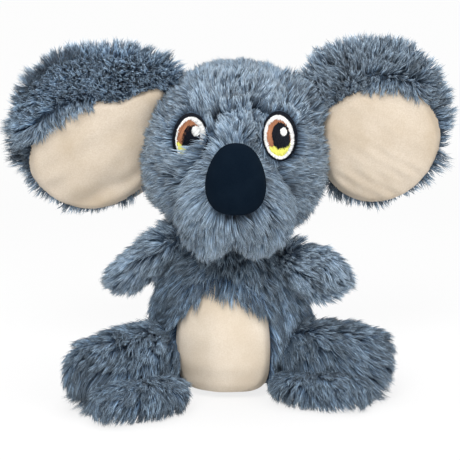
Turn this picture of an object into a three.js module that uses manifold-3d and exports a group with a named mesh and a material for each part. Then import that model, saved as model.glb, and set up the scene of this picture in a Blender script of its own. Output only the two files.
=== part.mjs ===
// A sitting plush koala: fur skins sewn over stuffing, with big round ears,
// embroidered eyes, a padded nose and a smooth belly panel.
// Millimetres. +Z is up, -Y is the way it faces, +X is the koala's own left.
// The origin is the middle of the seat, on the surface that the koala sits on.
import * as THREE from "three";
import { mergeVertices } from "three/addons/utils/BufferGeometryUtils.js";
import Module from "manifold-3d";

const wasm = await Module();
wasm.setup();

// Fabrics and seams
const plushWall = 6; // plush fabric with its pile laid over
const smoothWall = 2.5; // short smooth fabric of the belly, linings and nose
const threadHeight = 1.2; // satin stitch above the skin
const seamGap = 0.3; // between two pieces that are sewn or pressed together
const turnGap = 0.6; // between two stuffed forms that turn against each other
const overrun = 20; // how far a cutting shape passes what it cuts

// Torso
const torsoWidth = 96;
const torsoDepth = 86;
const torsoHeight = 102;
const torsoTurnAngle = -8; // degrees about +Z, towards the koala's right
const seatFlat = 0.5; // depth of the flat pressed into the seat and the legs
const torsoRadiusShares = [0, 0.5, 0.8, 0.93, 0.995, 1, 0.965, 0.88, 0.75, 0.54, 0.24, 0];
const torsoHeightShares = [0, 0, 0.015, 0.09, 0.2, 0.34, 0.51, 0.67, 0.81, 0.92, 0.985, 1];
const sideSeamAngle = 50; // degrees from the middle of the front to each side seam
const seatSeamHeight = 4;
const bellyWidth = 56;
const bellyTop = 72;
const bellyFoot = 6;
const bellyRoundShare = 0.62; // fullness of its foot and top
const bellyWaistShare = 0.4; // height of its widest place
const bellyShoulderShare = 0.86;

// Head
const headWidth = 106;
const headDepth = 94;
const headHeight = 104;
const headShift = 3.2; // the neck's distance to the left of the seat's middle
const neckSink = 10; // how deep the head sits in the top of the torso
const neckWidth = 42;
const headTurnAngle = 20; // degrees each way
const cheekShare = 0.15; // how much wider the head is at the jaw than at its middle
const headRoundShare = 0.84; // 1 for a plain oval, less for a fuller crown and jaw

// Muzzle, from between the eyes down to the two jowls
const muzzleHeight = 98;
const muzzleDrop = 8.5; // its middle below the head's middle
const muzzleReach = 73; // from the neck's axis to the front of the muzzle
const muzzleDepth = 66;
const jowlWidth = 66;
const bridgeWidth = 27;
const bridgeDepthShare = 0.4; // how far the bridge stands out, to the jowls
const muzzleRoundShare = 0.66; // 1 for a plain oval, less for fuller ends
const jowlNotch = 7; // depth of the groove between the jowls
const jowlNotchWidth = 20;
// From the middle of the muzzle, downwards, to its half height
const bridgeEndShares = [-0.45, 0.4]; // where the bridge starts and has ended
const notchShares = [0.5, 1]; // where the groove starts and is deepest

// Nose
const noseWidth = 33;
const noseHeight = 40;
const noseDepth = 22;
const noseStandOut = 8; // how far it stands out of the muzzle
const noseRise = 2.8; // above the muzzle's middle
const noseTaperShare = 0.16; // how much narrower it is above than below

// Eyes, drawn in thread as nested ovals
const eyeSpacing = 50;
const eyeRise = 13.5; // above the head's middle
const eyeWidth = 20;
const eyeHeight = 27.5;
const eyeLeanAngle = 10; // degrees, the tops towards each other
const eyeLineWidth = 1.7;
const irisWidth = 13.4;
const irisHeight = 21;
const irisShift = -0.8; // towards the koala's right
const irisDrop = 0.6;
const pupilWidth = 9.2;
const pupilHeight = 13.6;
const pupilShift = 0.6;
const glowHeight = 5.6; // height of the light band at the foot of the iris
const glintWidth = 4.4;
const glintHeight = 5.6;
const glintShift = 1.8;
const glintRise = 4.4;

// Ears
const earWidth = 88;
const earHeight = 102;
const earThickness = 27;
const earSetBack = 9; // its middle behind the neck's axis
const earFoldAngle = 20; // degrees each way
const leftEarSink = 14; // how deep its inner edge is buried in the head
const rightEarSink = 7;
const leftEarRise = 13; // its middle above the head's middle
const rightEarRise = 9;
const leftEarLobe = 12; // how much further its upper inner edge runs towards the head
const rightEarLobe = 38;
const leftLiningWidth = 74;
const rightLiningWidth = 88;
const leftLiningHeight = 76;
const rightLiningHeight = 68;
const leftLiningInset = -3; // the lining's middle, nearer the head than the ear's middle
const rightLiningInset = 8;
const leftLiningDrop = 11; // and lower
const rightLiningDrop = 14;
const earPoses = {
  left: {
    side: 1,
    sink: leftEarSink,
    rise: leftEarRise,
    nodAngle: 8,
    sweepAngle: 4,
    rollAngle: -3,
    lobe: leftEarLobe,
    width: leftLiningWidth,
    height: leftLiningHeight,
    inset: leftLiningInset,
    drop: leftLiningDrop,
    tiltAngle: 0,
  },
  right: {
    side: -1,
    sink: rightEarSink,
    rise: rightEarRise,
    nodAngle: 8,
    sweepAngle: 4,
    rollAngle: 2,
    lobe: rightEarLobe,
    width: rightLiningWidth,
    height: rightLiningHeight,
    inset: rightLiningInset,
    drop: rightLiningDrop,
    tiltAngle: 18,
  },
};

// Arms
const armLength = 43; // from the shoulder seam to the tip of the paw
const armSunk = 15; // how far its form runs on into the torso, before it is cut
const shoulderWidth = 26;
const pawWidth = 35;
const armFlatShare = 0.74; // thickness over width
const shoulderSpread = 35; // from the torso's middle to the shoulder seam
const shoulderSet = 11; // the seam in front of the torso's middle
const armPoses = {
  left: {
    side: 1,
    heightShare: 0.775, // of the torso's height
    droopAngle: 8,
    forwardAngle: 36,
    rollAngle: 80,
    lowerAngle: 15,
    liftAngle: 20,
  },
  right: {
    side: -1,
    heightShare: 0.865,
    droopAngle: 33,
    forwardAngle: 14,
    rollAngle: 25,
    lowerAngle: 5,
    liftAngle: 35,
  },
};

// Legs
const legLength = 62; // from the hip seam to the tip
const legSunk = 24; // how far its form runs on into the torso, before it is cut
const hipWidth = 38;
const kneeWidth = 42;
const legRound = 40; // height of the thickest part
const hipSpread = 38; // from the torso's middle to the hip seam
const legLiftAngle = 20; // degrees up from the floor
const soleDepth = 5; // the leg's underside above the floor, on the foot
const footLength = 62;
const heelWidth = 34;
const toeWidth = 40;
const footHeight = 25;
const squareTurnAngle = 90; // degrees from a leg's own heading to the way its foot is set
const leftHipSet = 16; // the hip seam in front of the torso's middle
const rightHipSet = 29;
const leftFootAlong = -10; // the foot's middle past the leg's middle
const rightFootAlong = 1;
const leftFootAhead = 20; // and in front of it
const rightFootAhead = 26.5;
const legPoses = {
  left: {
    side: 1,
    hipSet: leftHipSet,
    forwardAngle: 10,
    riseAngle: 1,
    footAlong: leftFootAlong,
    footAhead: leftFootAhead,
    footTurnAngle: 2,
  },
  right: {
    side: -1,
    hipSet: rightHipSet,
    forwardAngle: 38,
    riseAngle: 0,
    footAlong: rightFootAlong,
    footAhead: rightFootAhead,
    footTurnAngle: -10,
  },
};

// Mesh fineness
const formAroundSteps = 16;
const formAlongSteps = 10;
const limbAroundSteps = 12;
const limbAlongSteps = 8;
const innerAroundSteps = 8;
const innerAlongSteps = 5;
const curveSteps = 7;
const weldGap = 0.0001; // corners nearer than this are one
const fullnessShare = 0.7; // exponent that makes a limb's ends rounder than an oval's
const lobeRoundShare = 0.4; // how quickly an ear's lobe closes towards the ear's top

const axisY = new THREE.Vector3(0, 1, 0);
const axisZ = new THREE.Vector3(0, 0, 1);
const radians = THREE.MathUtils.degToRad;

// Solids

function solidOf(geometry, place = new THREE.Matrix4()) {
  const placed = (geometry.index ? geometry.toNonIndexed() : geometry.clone()).applyMatrix4(place);
  placed.deleteAttribute("normal");
  placed.deleteAttribute("uv");
  const merged = mergeVertices(placed, weldGap);
  return new wasm.Manifold(
    new wasm.Mesh({
      numProp: 3,
      vertProperties: merged.attributes.position.array,
      triVerts: new Uint32Array(merged.index.array),
    }),
  );
}

function geometryOf(solid, frame) {
  const mesh = solid.getMesh();
  const geometry = new THREE.BufferGeometry();
  geometry.setAttribute("position", new THREE.BufferAttribute(mesh.vertProperties, 3));
  geometry.setIndex(new THREE.BufferAttribute(mesh.triVerts, 1));
  geometry.applyMatrix4(frame.clone().invert());
  geometry.computeVertexNormals();
  return geometry;
}

function cut(solid, ...cutters) {
  return cutters.flat().reduce((left, cutter) => left.subtract(cutter), solid);
}

// A ball whose points are moved by a rule, with its poles up and down
function moulded(around, along, rule) {
  const ball = new THREE.SphereGeometry(1, around, along).rotateX(Math.PI / 2);
  const points = ball.attributes.position;
  const point = new THREE.Vector3();
  for (let i = 0; i < points.count; i++) {
    point.fromBufferAttribute(points, i);
    rule(point);
    points.setXYZ(i, point.x, point.y, point.z);
  }
  return ball;
}

// A stuffed limb along +X, from its buried root, behind the origin, to its tip
function limb(length, sunk, rootWidth, tipWidth, heightShare, grow, around, along) {
  const profile = [];
  for (let i = 0; i <= along; i++) {
    const angle = (Math.PI * i) / along;
    const way = (1 - Math.cos(angle)) / 2;
    const radius = THREE.MathUtils.lerp(rootWidth, tipWidth, way) / 2 + grow;
    const round = i === 0 || i === along ? 0 : Math.sin(angle) ** fullnessShare;
    const x = way * (length + sunk + 2 * grow) - sunk - grow;
    profile.push(new THREE.Vector2(radius * round, x));
  }
  const form = new THREE.LatheGeometry(profile, around).rotateZ(-Math.PI / 2);
  const middle = (rootWidth + tipWidth) / 4;
  return form.scale(1, 1, (middle * heightShare + grow) / (middle + grow));
}

function oval(width, height, x, z, tilt = 0) {
  const turn = radians(tilt);
  return new THREE.Shape().absellipse(x, z, width / 2, height / 2, 0, 2 * Math.PI, false, turn);
}

// A flat outline in X and Z, pushed towards -Y
function prism(outline, depth) {
  const settings = { depth, bevelEnabled: false, curveSegments: curveSteps };
  return new THREE.ExtrudeGeometry(outline, settings).rotateX(Math.PI / 2);
}

function turnAbout(axis, point, degrees) {
  const away = new THREE.Matrix4().makeTranslation(point.clone().negate());
  const turn = new THREE.Matrix4().makeRotationAxis(axis, radians(degrees));
  return new THREE.Matrix4().makeTranslation(point).multiply(turn).multiply(away);
}

// Copies of a neighbour's form at even stops of a joint, as the turning piece meets them
function swept(geometry, place, joint) {
  const stops = [0, joint.low, joint.high, joint.low / 2, joint.high / 2];
  return [...new Set(stops)].map((degrees) => {
    const seen = turnAbout(joint.axis, joint.point, -degrees).multiply(place);
    return solidOf(geometry, seen);
  });
}

// Places and joints

const torsoFrame = new THREE.Matrix4().makeRotationZ(radians(torsoTurnAngle));
const headMiddle = torsoHeight + headHeight / 2 - neckSink;
const headFrame = new THREE.Matrix4().makeTranslation(headShift, 0, headMiddle);
const neck = {
  point: new THREE.Vector3(headShift, 0, torsoHeight - neckSink),
  axis: axisZ,
  low: -headTurnAngle,
  high: headTurnAngle,
};

function inTorso(x, y, z) {
  return new THREE.Vector3(x, y, z).applyMatrix4(torsoFrame);
}

// The level direction out to one side, turned forward by the given degrees
function heading(side, forward) {
  return new THREE.Vector3(side, 0, 0).applyAxisAngle(axisZ, radians(-side * forward));
}

// A frame at a point whose +X points out to one side, forward and up by the given degrees
function limbFrame(point, side, forward, rise, roll) {
  const level = heading(side, forward);
  const lifting = new THREE.Vector3().crossVectors(level, axisZ);
  const along = level.clone().applyAxisAngle(lifting, radians(rise));
  const up = axisZ.clone().applyAxisAngle(lifting, radians(rise));
  const across = new THREE.Vector3().crossVectors(up, along);
  const frame = new THREE.Matrix4().makeBasis(along, across, up).setPosition(point);
  return frame.multiply(new THREE.Matrix4().makeRotationX(radians(roll)));
}

// Forms: the outside of each stuffed part, grown or shrunk by a distance

// The factor that swells a unit ball's rings towards its poles
function fuller(p, roundShare) {
  const ring = Math.hypot(p.x, p.y);
  return ring > 0 ? ring ** (roundShare - 1) : 1;
}

function headForm(grow, around = formAroundSteps, along = formAlongSteps) {
  return moulded(around, along, (p) => {
    const full = fuller(p, headRoundShare);
    const cheek = 1 - cheekShare * p.z;
    p.set(
      p.x * full * (headWidth / 2 + grow) * cheek,
      p.y * full * (headDepth / 2 + grow),
      p.z * (headHeight / 2 + grow),
    );
  });
}

function muzzleForm(grow, around = formAroundSteps, along = formAlongSteps) {
  const middle = muzzleDepth / 2 - muzzleReach;
  return moulded(around, along, (p) => {
    const full = fuller(p, muzzleRoundShare);
    const low = THREE.MathUtils.smoothstep(-p.z, ...bridgeEndShares);
    const halfWidth = THREE.MathUtils.lerp(bridgeWidth, jowlWidth, low) / 2;
    const halfDepth = (muzzleDepth / 2) * THREE.MathUtils.lerp(bridgeDepthShare, 1, low);
    const x = p.x * full * (halfWidth + grow);
    const away = Math.exp(-((x / (jowlNotchWidth / 2)) ** 2));
    const notch = jowlNotch * away * THREE.MathUtils.smoothstep(-p.z, ...notchShares);
    const z = p.z * (muzzleHeight / 2 + grow) + notch - muzzleDrop;
    p.set(x, middle + p.y * full * (halfDepth + grow), z);
  });
}

function noseForm(grow, around = limbAroundSteps, along = limbAlongSteps) {
  const middle = noseDepth / 2 - noseStandOut - muzzleReach;
  return moulded(around, along, (p) => {
    const taper = 1 - noseTaperShare * p.z;
    p.set(
      p.x * (noseWidth / 2 + grow) * taper,
      middle + p.y * (noseDepth / 2 + grow),
      p.z * (noseHeight / 2 + grow) + noseRise - muzzleDrop,
    );
  });
}

function torsoForm(grow, around = formAroundSteps) {
  const profile = torsoRadiusShares.map((share, i) => {
    const ends = i === 0 || i === torsoRadiusShares.length - 1;
    const radius = ends ? 0 : (torsoWidth / 2) * share + grow;
    const height = (torsoHeight + seatFlat + 2 * grow) * torsoHeightShares[i];
    return new THREE.Vector2(radius, height - seatFlat - grow);
  });
  const form = new THREE.LatheGeometry(profile, around).rotateX(Math.PI / 2);
  return form.scale(1, (torsoDepth / 2 + grow) / (torsoWidth / 2 + grow), 1);
}

// An oval cushion whose upper inner edge runs on towards the head
function earForm(pose, grow, around = formAroundSteps, along = limbAlongSteps) {
  return moulded(around, along, (p) => {
    const ring = Math.sqrt(Math.max(0, 1 - p.z ** 2));
    const inner = ring > 0 ? (1 - (pose.side * p.x) / ring) / 2 : 0;
    const lobe = pose.lobe * inner * ring ** lobeRoundShare * THREE.MathUtils.smoothstep(p.z, 0, 1);
    p.set(
      p.x * (earWidth / 2 + grow) - pose.side * lobe,
      p.y * (earThickness / 2 + grow),
      p.z * (earHeight / 2 + grow),
    );
  });
}

function armForm(grow, around = limbAroundSteps, along = limbAlongSteps) {
  return limb(armLength, armSunk, shoulderWidth, pawWidth, armFlatShare, grow, around, along);
}

function legForm(grow, around = limbAroundSteps, along = limbAlongSteps) {
  const heightShare = (2 * legRound) / (hipWidth + kneeWidth);
  return limb(legLength, legSunk, hipWidth, kneeWidth, heightShare, grow, around, along);
}

function footForm(grow, around = limbAroundSteps, along = limbAlongSteps) {
  const heightShare = (2 * footHeight) / (heelWidth + toeWidth);
  return limb(footLength, 0, heelWidth, toeWidth, heightShare, grow, around, along);
}

// Everything below the surface that the koala sits on
function floorBlock() {
  const side = 2 * (headWidth + 2 * earWidth);
  const block = new THREE.BoxGeometry(side, side, overrun);
  return solidOf(block.translate(0, 0, -overrun / 2));
}
const floor = floorBlock();

// The scene graph

const koala = new THREE.Group();
const fur = { color: 0x64788c, roughness: 0.95, metalness: 0 };
const cream = { color: 0xe8dabe, roughness: 0.85, metalness: 0 };
const wadding = { color: 0xf2f2ee, roughness: 1, metalness: 0 };
const navy = { color: 0x121a26, roughness: 0.8, metalness: 0 };

function groupAt(parent, point) {
  const group = new THREE.Group();
  parent.add(group);
  group.position.copy(parent.worldToLocal(point.clone()));
  group.updateWorldMatrix(true, false);
  return group;
}

function add(group, name, solid, look) {
  const mesh = new THREE.Mesh(
    geometryOf(solid, group.matrixWorld),
    new THREE.MeshStandardMaterial(look),
  );
  mesh.name = name;
  group.add(mesh);
}

// Head

const headGroup = groupAt(koala, neck.point);
const headSolid = solidOf(headForm(0), headFrame);
const muzzleSolid = solidOf(muzzleForm(0), headFrame);
const headHollow = solidOf(headForm(-plushWall, innerAroundSteps, innerAlongSteps), headFrame);
const muzzleHollow = solidOf(muzzleForm(-plushWall, innerAroundSteps, innerAlongSteps), headFrame);

function neckPlug(radius) {
  const plug = new THREE.CylinderGeometry(radius, radius, headHeight, limbAroundSteps);
  return solidOf(plug.rotateX(Math.PI / 2).translate(headShift, 0, neck.point.z));
}

function buildHead() {
  const inside = -plushWall - seamGap;
  const stuffing = solidOf(headForm(inside, innerAroundSteps, innerAlongSteps), headFrame)
    .add(solidOf(muzzleForm(inside, innerAroundSteps, innerAlongSteps), headFrame))
    .add(neckPlug(neckWidth / 2 - seamGap).intersect(solidOf(headForm(-seamGap), headFrame)));
  const muzzleHole = solidOf(muzzleForm(seamGap), headFrame);
  const innerHead = solidOf(headForm(seamGap - plushWall), headFrame);
  const skin = cut(headSolid, headHollow, muzzleHole, neckPlug(neckWidth / 2));
  add(headGroup, "head_skin", skin, fur);
  add(headGroup, "head_filling", stuffing, wadding);
  const muzzle = cut(muzzleSolid, muzzleHollow, innerHead, neckPlug(neckWidth / 2));
  add(headGroup, "muzzle_skin", muzzle, fur);
}
buildHead();

function buildNose() {
  const bed = solidOf(muzzleForm(seamGap), headFrame);
  const outside = solidOf(noseForm(0), headFrame);
  const hollow = solidOf(noseForm(-smoothWall, innerAroundSteps, innerAlongSteps), headFrame);
  const inside = -smoothWall - seamGap;
  const stuffing = solidOf(noseForm(inside, innerAroundSteps, innerAlongSteps), headFrame);
  add(headGroup, "nose_cover", cut(outside, hollow, bed), navy);
  add(headGroup, "nose_filling", cut(stuffing, bed), wadding);
}
buildNose();

// One eye: fields of thread that lie side by side on the head's skin
function buildEye(name, side) {
  const lean = turnAbout(axisY, new THREE.Vector3(), -side * eyeLeanAngle);
  const spot = new THREE.Matrix4().makeTranslation((side * eyeSpacing) / 2, 0, eyeRise);
  const place = headFrame.clone().multiply(spot).multiply(lean);
  const field = (width, height, x, z) =>
    solidOf(prism(oval(width, height, x, z), headDepth), place);
  const layer = cut(
    solidOf(headForm(seamGap + threadHeight), headFrame),
    solidOf(headForm(seamGap), headFrame),
    solidOf(muzzleForm(seamGap), headFrame),
  );
  const whiteWidth = eyeWidth - 2 * eyeLineWidth;
  const whiteHeight = eyeHeight - 2 * eyeLineWidth;
  const gap = 2 * seamGap;
  const iris = field(irisWidth, irisHeight, irisShift, -irisDrop);
  const pupilHole = field(pupilWidth + gap, pupilHeight + gap, pupilShift, 0);
  const glintHole = field(glintWidth + gap, glintHeight + gap, glintShift, glintRise);
  const glowTop = glowHeight - irisHeight / 2 - irisDrop;
  const band = new THREE.BoxGeometry(eyeWidth, headDepth, eyeHeight);
  band.translate(0, -headDepth / 2, glowTop - eyeHeight / 2);
  const lower = solidOf(band, place);
  const lowerHole = solidOf(band.clone().translate(0, 0, seamGap), place);
  const fields = {
    outline: [0x0a0f19, cut(
      field(eyeWidth, eyeHeight, 0, 0),
      field(whiteWidth + gap, whiteHeight + gap, 0, 0),
    )],
    white: [0xf6f6f4, cut(
      field(whiteWidth, whiteHeight, 0, 0),
      field(irisWidth + gap, irisHeight + gap, irisShift, -irisDrop),
    )],
    iris: [0xbe7850, cut(iris, pupilHole, lowerHole, glintHole)],
    glow: [0xe8e45a, cut(iris.intersect(lower), pupilHole)],
    pupil: [0x0a0f19, cut(field(pupilWidth, pupilHeight, pupilShift, 0), glintHole)],
    glint: [0xf6f6f4, field(glintWidth, glintHeight, glintShift, glintRise)],
  };
  for (const [part, [color, region]] of Object.entries(fields)) {
    const look = { color, roughness: 0.5, metalness: 0 };
    add(headGroup, `${name}_eye_${part}`, layer.intersect(region), look);
  }
}
buildEye("left", 1);
buildEye("right", -1);

// Ears: a fur back and rim, open to the front, that a smooth lining closes
function buildEar(name, pose) {
  const { side } = pose;
  const out = headWidth / 2 + earWidth / 2 - pose.sink;
  const middle = new THREE.Vector3(side * out, earSetBack, pose.rise).applyMatrix4(headFrame);
  const frame = new THREE.Matrix4()
    .makeTranslation(middle)
    .multiply(new THREE.Matrix4().makeRotationZ(radians(side * pose.sweepAngle)))
    .multiply(new THREE.Matrix4().makeRotationY(radians(side * pose.rollAngle)))
    .multiply(new THREE.Matrix4().makeRotationX(radians(pose.nodAngle)));
  const root = new THREE.Vector3((side * headWidth) / 2, earSetBack, pose.rise);
  const joint = {
    point: root.applyMatrix4(headFrame),
    axis: axisZ,
    low: -earFoldAngle,
    high: earFoldAngle,
  };
  const head = swept(headForm(turnGap), headFrame, joint);
  const hollowAt = (grow) =>
    solidOf(
      earForm(pose, grow - plushWall, limbAroundSteps).translate(0, smoothWall - plushWall, 0),
      frame,
    );
  const lining = (grow) => {
    const outline = oval(
      pose.width + 2 * grow,
      pose.height + 2 * grow,
      -side * pose.inset,
      -pose.drop,
      -side * pose.tiltAngle,
    );
    return solidOf(prism(outline, earThickness), frame);
  };
  const outside = solidOf(earForm(pose, 0), frame);
  const hollow = hollowAt(0);
  const group = groupAt(headGroup, joint.point);
  add(group, `${name}_ear_skin`, cut(outside, hollow, lining(seamGap), head), fur);
  const panel = cut(outside.intersect(lining(0)), hollow, head);
  add(group, `${name}_ear_lining`, panel, cream);
  add(group, `${name}_ear_filling`, cut(hollowAt(-seamGap), head), wadding);
  return joint;
}
const earJoints = Object.entries(earPoses).map(([name, pose]) => buildEar(name, pose));

// Torso: a back panel that runs under the seat, a front panel and the belly

const torsoGroup = groupAt(koala, new THREE.Vector3());
const headSweep = [
  ...swept(headForm(turnGap), headFrame, neck),
  ...swept(muzzleForm(turnGap), headFrame, neck),
];

function bellyOutline(grow) {
  const half = bellyWidth / 2 + grow;
  const top = bellyTop + grow;
  const foot = bellyFoot - grow;
  const height = top - foot;
  const outline = new THREE.Shape().moveTo(0, foot);
  const round = half * bellyRoundShare;
  const waist = foot + height * bellyWaistShare;
  const shoulder = foot + height * bellyShoulderShare;
  outline.bezierCurveTo(round, foot, half, foot, half, waist);
  outline.bezierCurveTo(half, shoulder, round, top, 0, top);
  outline.bezierCurveTo(-round, top, -half, shoulder, -half, waist);
  outline.bezierCurveTo(-half, foot, -round, foot, 0, foot);
  return outline;
}

// The wedge in front of the side seams, above the seat seam
function frontWedge(grow) {
  const reach = torsoDepth + overrun;
  const half = reach * Math.tan(radians(sideSeamAngle));
  const outline = new THREE.Shape()
    .moveTo(0, grow)
    .lineTo(-half, -reach)
    .lineTo(half, -reach)
    .closePath();
  const settings = { depth: torsoHeight + overrun, bevelEnabled: false };
  const wedge = new THREE.ExtrudeGeometry(outline, settings);
  return solidOf(wedge.translate(0, 0, seatSeamHeight - grow), torsoFrame);
}

function buildTorso() {
  const outside = cut(solidOf(torsoForm(0), torsoFrame), headSweep, floor);
  const hollow = solidOf(torsoForm(-plushWall, limbAroundSteps), torsoFrame);
  const inside = -plushWall - seamGap;
  const stuffing = solidOf(torsoForm(inside, limbAroundSteps), torsoFrame);
  const shell = cut(outside, hollow);
  const belly = solidOf(prism(bellyOutline(0), torsoDepth), torsoFrame);
  const bellyHole = solidOf(prism(bellyOutline(seamGap), torsoDepth), torsoFrame);
  add(torsoGroup, "torso_back_skin", cut(shell, frontWedge(seamGap)), fur);
  add(torsoGroup, "torso_front_skin", cut(shell.intersect(frontWedge(0)), bellyHole), fur);
  add(torsoGroup, "belly_panel", shell.intersect(belly), cream);
  add(torsoGroup, "torso_filling", cut(stuffing, headSweep), wadding);
}
buildTorso();

// Arms
function buildArm(name, pose) {
  const { side } = pose;
  const start = inTorso(side * shoulderSpread, -shoulderSet, torsoHeight * pose.heightShare);
  const frame = limbFrame(start, side, pose.forwardAngle, -pose.droopAngle, pose.rollAngle);
  const joint = {
    point: start,
    axis: axisY.clone().multiplyScalar(-side),
    low: -pose.lowerAngle,
    high: pose.liftAngle,
  };
  const torso = swept(torsoForm(turnGap), torsoFrame, joint);
  const outside = cut(solidOf(armForm(0), frame), torso);
  const hollow = solidOf(armForm(-plushWall, innerAroundSteps, innerAlongSteps), frame);
  const inside = -plushWall - seamGap;
  const stuffing = solidOf(armForm(inside, innerAroundSteps, innerAlongSteps), frame);
  const group = groupAt(torsoGroup, joint.point);
  add(group, `${name}_arm_skin`, cut(outside, hollow), fur);
  add(group, `${name}_arm_filling`, cut(stuffing, torso), wadding);
  return joint;
}
const armJoints = Object.entries(armPoses).map(([name, pose]) => buildArm(name, pose));

// Legs, each with a foot that is sewn to it along a deep seam
function buildLeg(name, pose) {
  const { side } = pose;
  const middleHeight = soleDepth + legRound / 2;
  const hip = inTorso(side * hipSpread, -pose.hipSet, middleHeight);
  const frame = limbFrame(hip, side, pose.forwardAngle, pose.riseAngle, 0);
  const heel = hip
    .clone()
    .addScaledVector(heading(side, pose.forwardAngle), legLength / 2 + pose.footAlong)
    .addScaledVector(heading(side, pose.forwardAngle + squareTurnAngle), pose.footAhead)
    .addScaledVector(heading(side, pose.forwardAngle + pose.footTurnAngle), -footLength / 2)
    .setZ(footHeight / 2 - seatFlat);
  const footFrame = limbFrame(heel, side, pose.forwardAngle + pose.footTurnAngle, 0, 0);
  const joint = {
    point: hip,
    axis: new THREE.Vector3().crossVectors(heading(side, pose.forwardAngle), axisZ),
    low: 0,
    high: legLiftAngle,
  };
  const torso = swept(torsoForm(turnGap), torsoFrame, joint);
  const inside = -plushWall - seamGap;
  const legSolid = cut(solidOf(legForm(0), frame), torso, floor);
  const legHollow = solidOf(legForm(-plushWall, innerAroundSteps, innerAlongSteps), frame);
  const legStuffing = solidOf(legForm(inside, innerAroundSteps, innerAlongSteps), frame);
  const legHole = solidOf(legForm(seamGap), frame);
  const footSolid = cut(solidOf(footForm(0), footFrame), torso, floor, legHole);
  const footHollow = solidOf(footForm(-plushWall, innerAroundSteps, innerAlongSteps), footFrame);
  const footStuffing = solidOf(footForm(inside, innerAroundSteps, innerAlongSteps), footFrame);
  const group = groupAt(torsoGroup, joint.point);
  add(group, `${name}_leg_skin`, cut(legSolid, legHollow), fur);
  add(group, `${name}_leg_filling`, cut(legStuffing, torso), wadding);
  add(group, `${name}_foot_skin`, cut(footSolid, footHollow), fur);
  add(group, `${name}_foot_filling`, cut(footStuffing, torso, legHole), wadding);
  return joint;
}
const legJoints = Object.entries(legPoses).map(([name, pose]) => buildLeg(name, pose));

// The joints, for whoever poses the koala: point, axis and range of each
koala.userData.joints = { neck, ears: earJoints, arms: armJoints, legs: legJoints };

export default koala;
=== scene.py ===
"""A sitting plush koala: long pile grown on stuffed forms, embroidered eyes, a padded
nose, smooth ear linings and a smooth belly. Metres, +Z up, it faces -Y."""

import math

import bpy
import numpy as np
from mathutils import Matrix, Vector, kdtree


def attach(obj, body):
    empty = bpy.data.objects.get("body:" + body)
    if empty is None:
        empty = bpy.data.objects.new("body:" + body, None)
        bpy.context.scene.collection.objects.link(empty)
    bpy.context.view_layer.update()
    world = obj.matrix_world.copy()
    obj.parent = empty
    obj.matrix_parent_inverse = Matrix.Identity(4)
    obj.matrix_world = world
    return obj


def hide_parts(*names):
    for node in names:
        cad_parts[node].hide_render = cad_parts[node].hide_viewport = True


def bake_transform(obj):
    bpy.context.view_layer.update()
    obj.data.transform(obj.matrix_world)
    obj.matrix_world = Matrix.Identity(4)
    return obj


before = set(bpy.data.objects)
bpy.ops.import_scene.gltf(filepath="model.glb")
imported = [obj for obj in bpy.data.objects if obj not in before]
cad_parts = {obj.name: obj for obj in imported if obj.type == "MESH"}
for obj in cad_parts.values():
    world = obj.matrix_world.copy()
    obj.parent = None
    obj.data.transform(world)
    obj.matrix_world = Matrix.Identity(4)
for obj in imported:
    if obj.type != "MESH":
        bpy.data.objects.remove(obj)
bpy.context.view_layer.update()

bl_info = {
    "name": "Plush Koala",
    "version": (1, 0, 0),
    "blender": (4, 5, 0),
    "location": "View3D > Sidebar > Koala",
    "description": "Builds a sitting plush koala with long pile on its stuffed forms",
    "category": "Add Mesh",
}

# How each side of the toy sits: angles in degrees, lengths in metres. An ear's width,
# height, inset, drop, tilt and corner are its lining's
EARS = {
    "left": {
        "side": 1, "sink": 0.014, "rise": 0.013, "nod": 8, "sweep": 4, "roll": -3,
        "lobe": 0.012, "width": 0.074, "height": 0.076,
        "inset": -0.003, "drop": 0.011, "tilt": 0, "corner": 0.08,
    },
    "right": {
        "side": -1, "sink": 0.007, "rise": 0.009, "nod": 8, "sweep": 4, "roll": 2,
        "lobe": 0.038, "width": 0.088, "height": 0.068,
        "inset": 0.008, "drop": 0.014, "tilt": 18, "corner": 0.42,
    },
}
ARMS = {
    "left": {"side": 1, "height": 0.775, "droop": 8, "forward": 36, "roll": 80},
    "right": {"side": -1, "height": 0.865, "droop": 33, "forward": 14, "roll": 25},
}
LEGS = {
    "left": {
        "side": 1, "hip_set": 0.016, "forward": 10, "rise": 1,
        "foot_along": -0.010, "foot_ahead": 0.020, "foot_turn": 2, "worn": 0.3,
    },
    "right": {
        "side": -1, "hip_set": 0.029, "forward": 38, "rise": 0,
        "foot_along": 0.001, "foot_ahead": 0.0265, "foot_turn": -10, "worn": 0.05,
    },
}
TORSO_TURN = -8
SIDE_SEAM_ANGLE = 50

# Profile of the torso: radius and height, as shares of its own
TORSO_RADII = [0, 0.5, 0.8, 0.93, 0.995, 1, 0.965, 0.88, 0.75, 0.54, 0.24, 0]
TORSO_HEIGHTS = [0, 0, 0.015, 0.09, 0.2, 0.34, 0.51, 0.67, 0.81, 0.92, 0.985, 1]

# Where a strand of pile has its points, from root to tip. All but the tip are rings of
# three, this thick against the root
STRAND_SHARES = np.array([0.0, 0.4, 0.74, 1.0])
STRAND_TAPER = np.array([1.0, 0.95, 0.66])
STRANDS_TO_A_PIECE = 12800

# The map that holds a strand's tone and the way along it
UV_MAP = "OFBake"

# Points round a form and bands along it, for its backing and for its wadding
BACKING_GRID = (120, 90)
WADDING_GRID = (48, 32)

# A reach that is far outside any form
OUTSIDE = 9.0
# How deep in its neighbour, in metres, a form still grows pile
SEAM_DEPTH = 0.006
# From the back of a backing to the wadding, in metres
WADDING_GAP = 0.002
# How far each eye leans outwards, in degrees
EYE_LEAN = 10
# Where the edge of an eye is, as a share of its reach
EYE_EDGE = 1.02

DOWN = np.array([0, 0, -1.0])
NO_DEPTH = np.array([1, 0, 1])
SQUARE_CENTIMETRES = 1e4  # to a square metre

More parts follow.
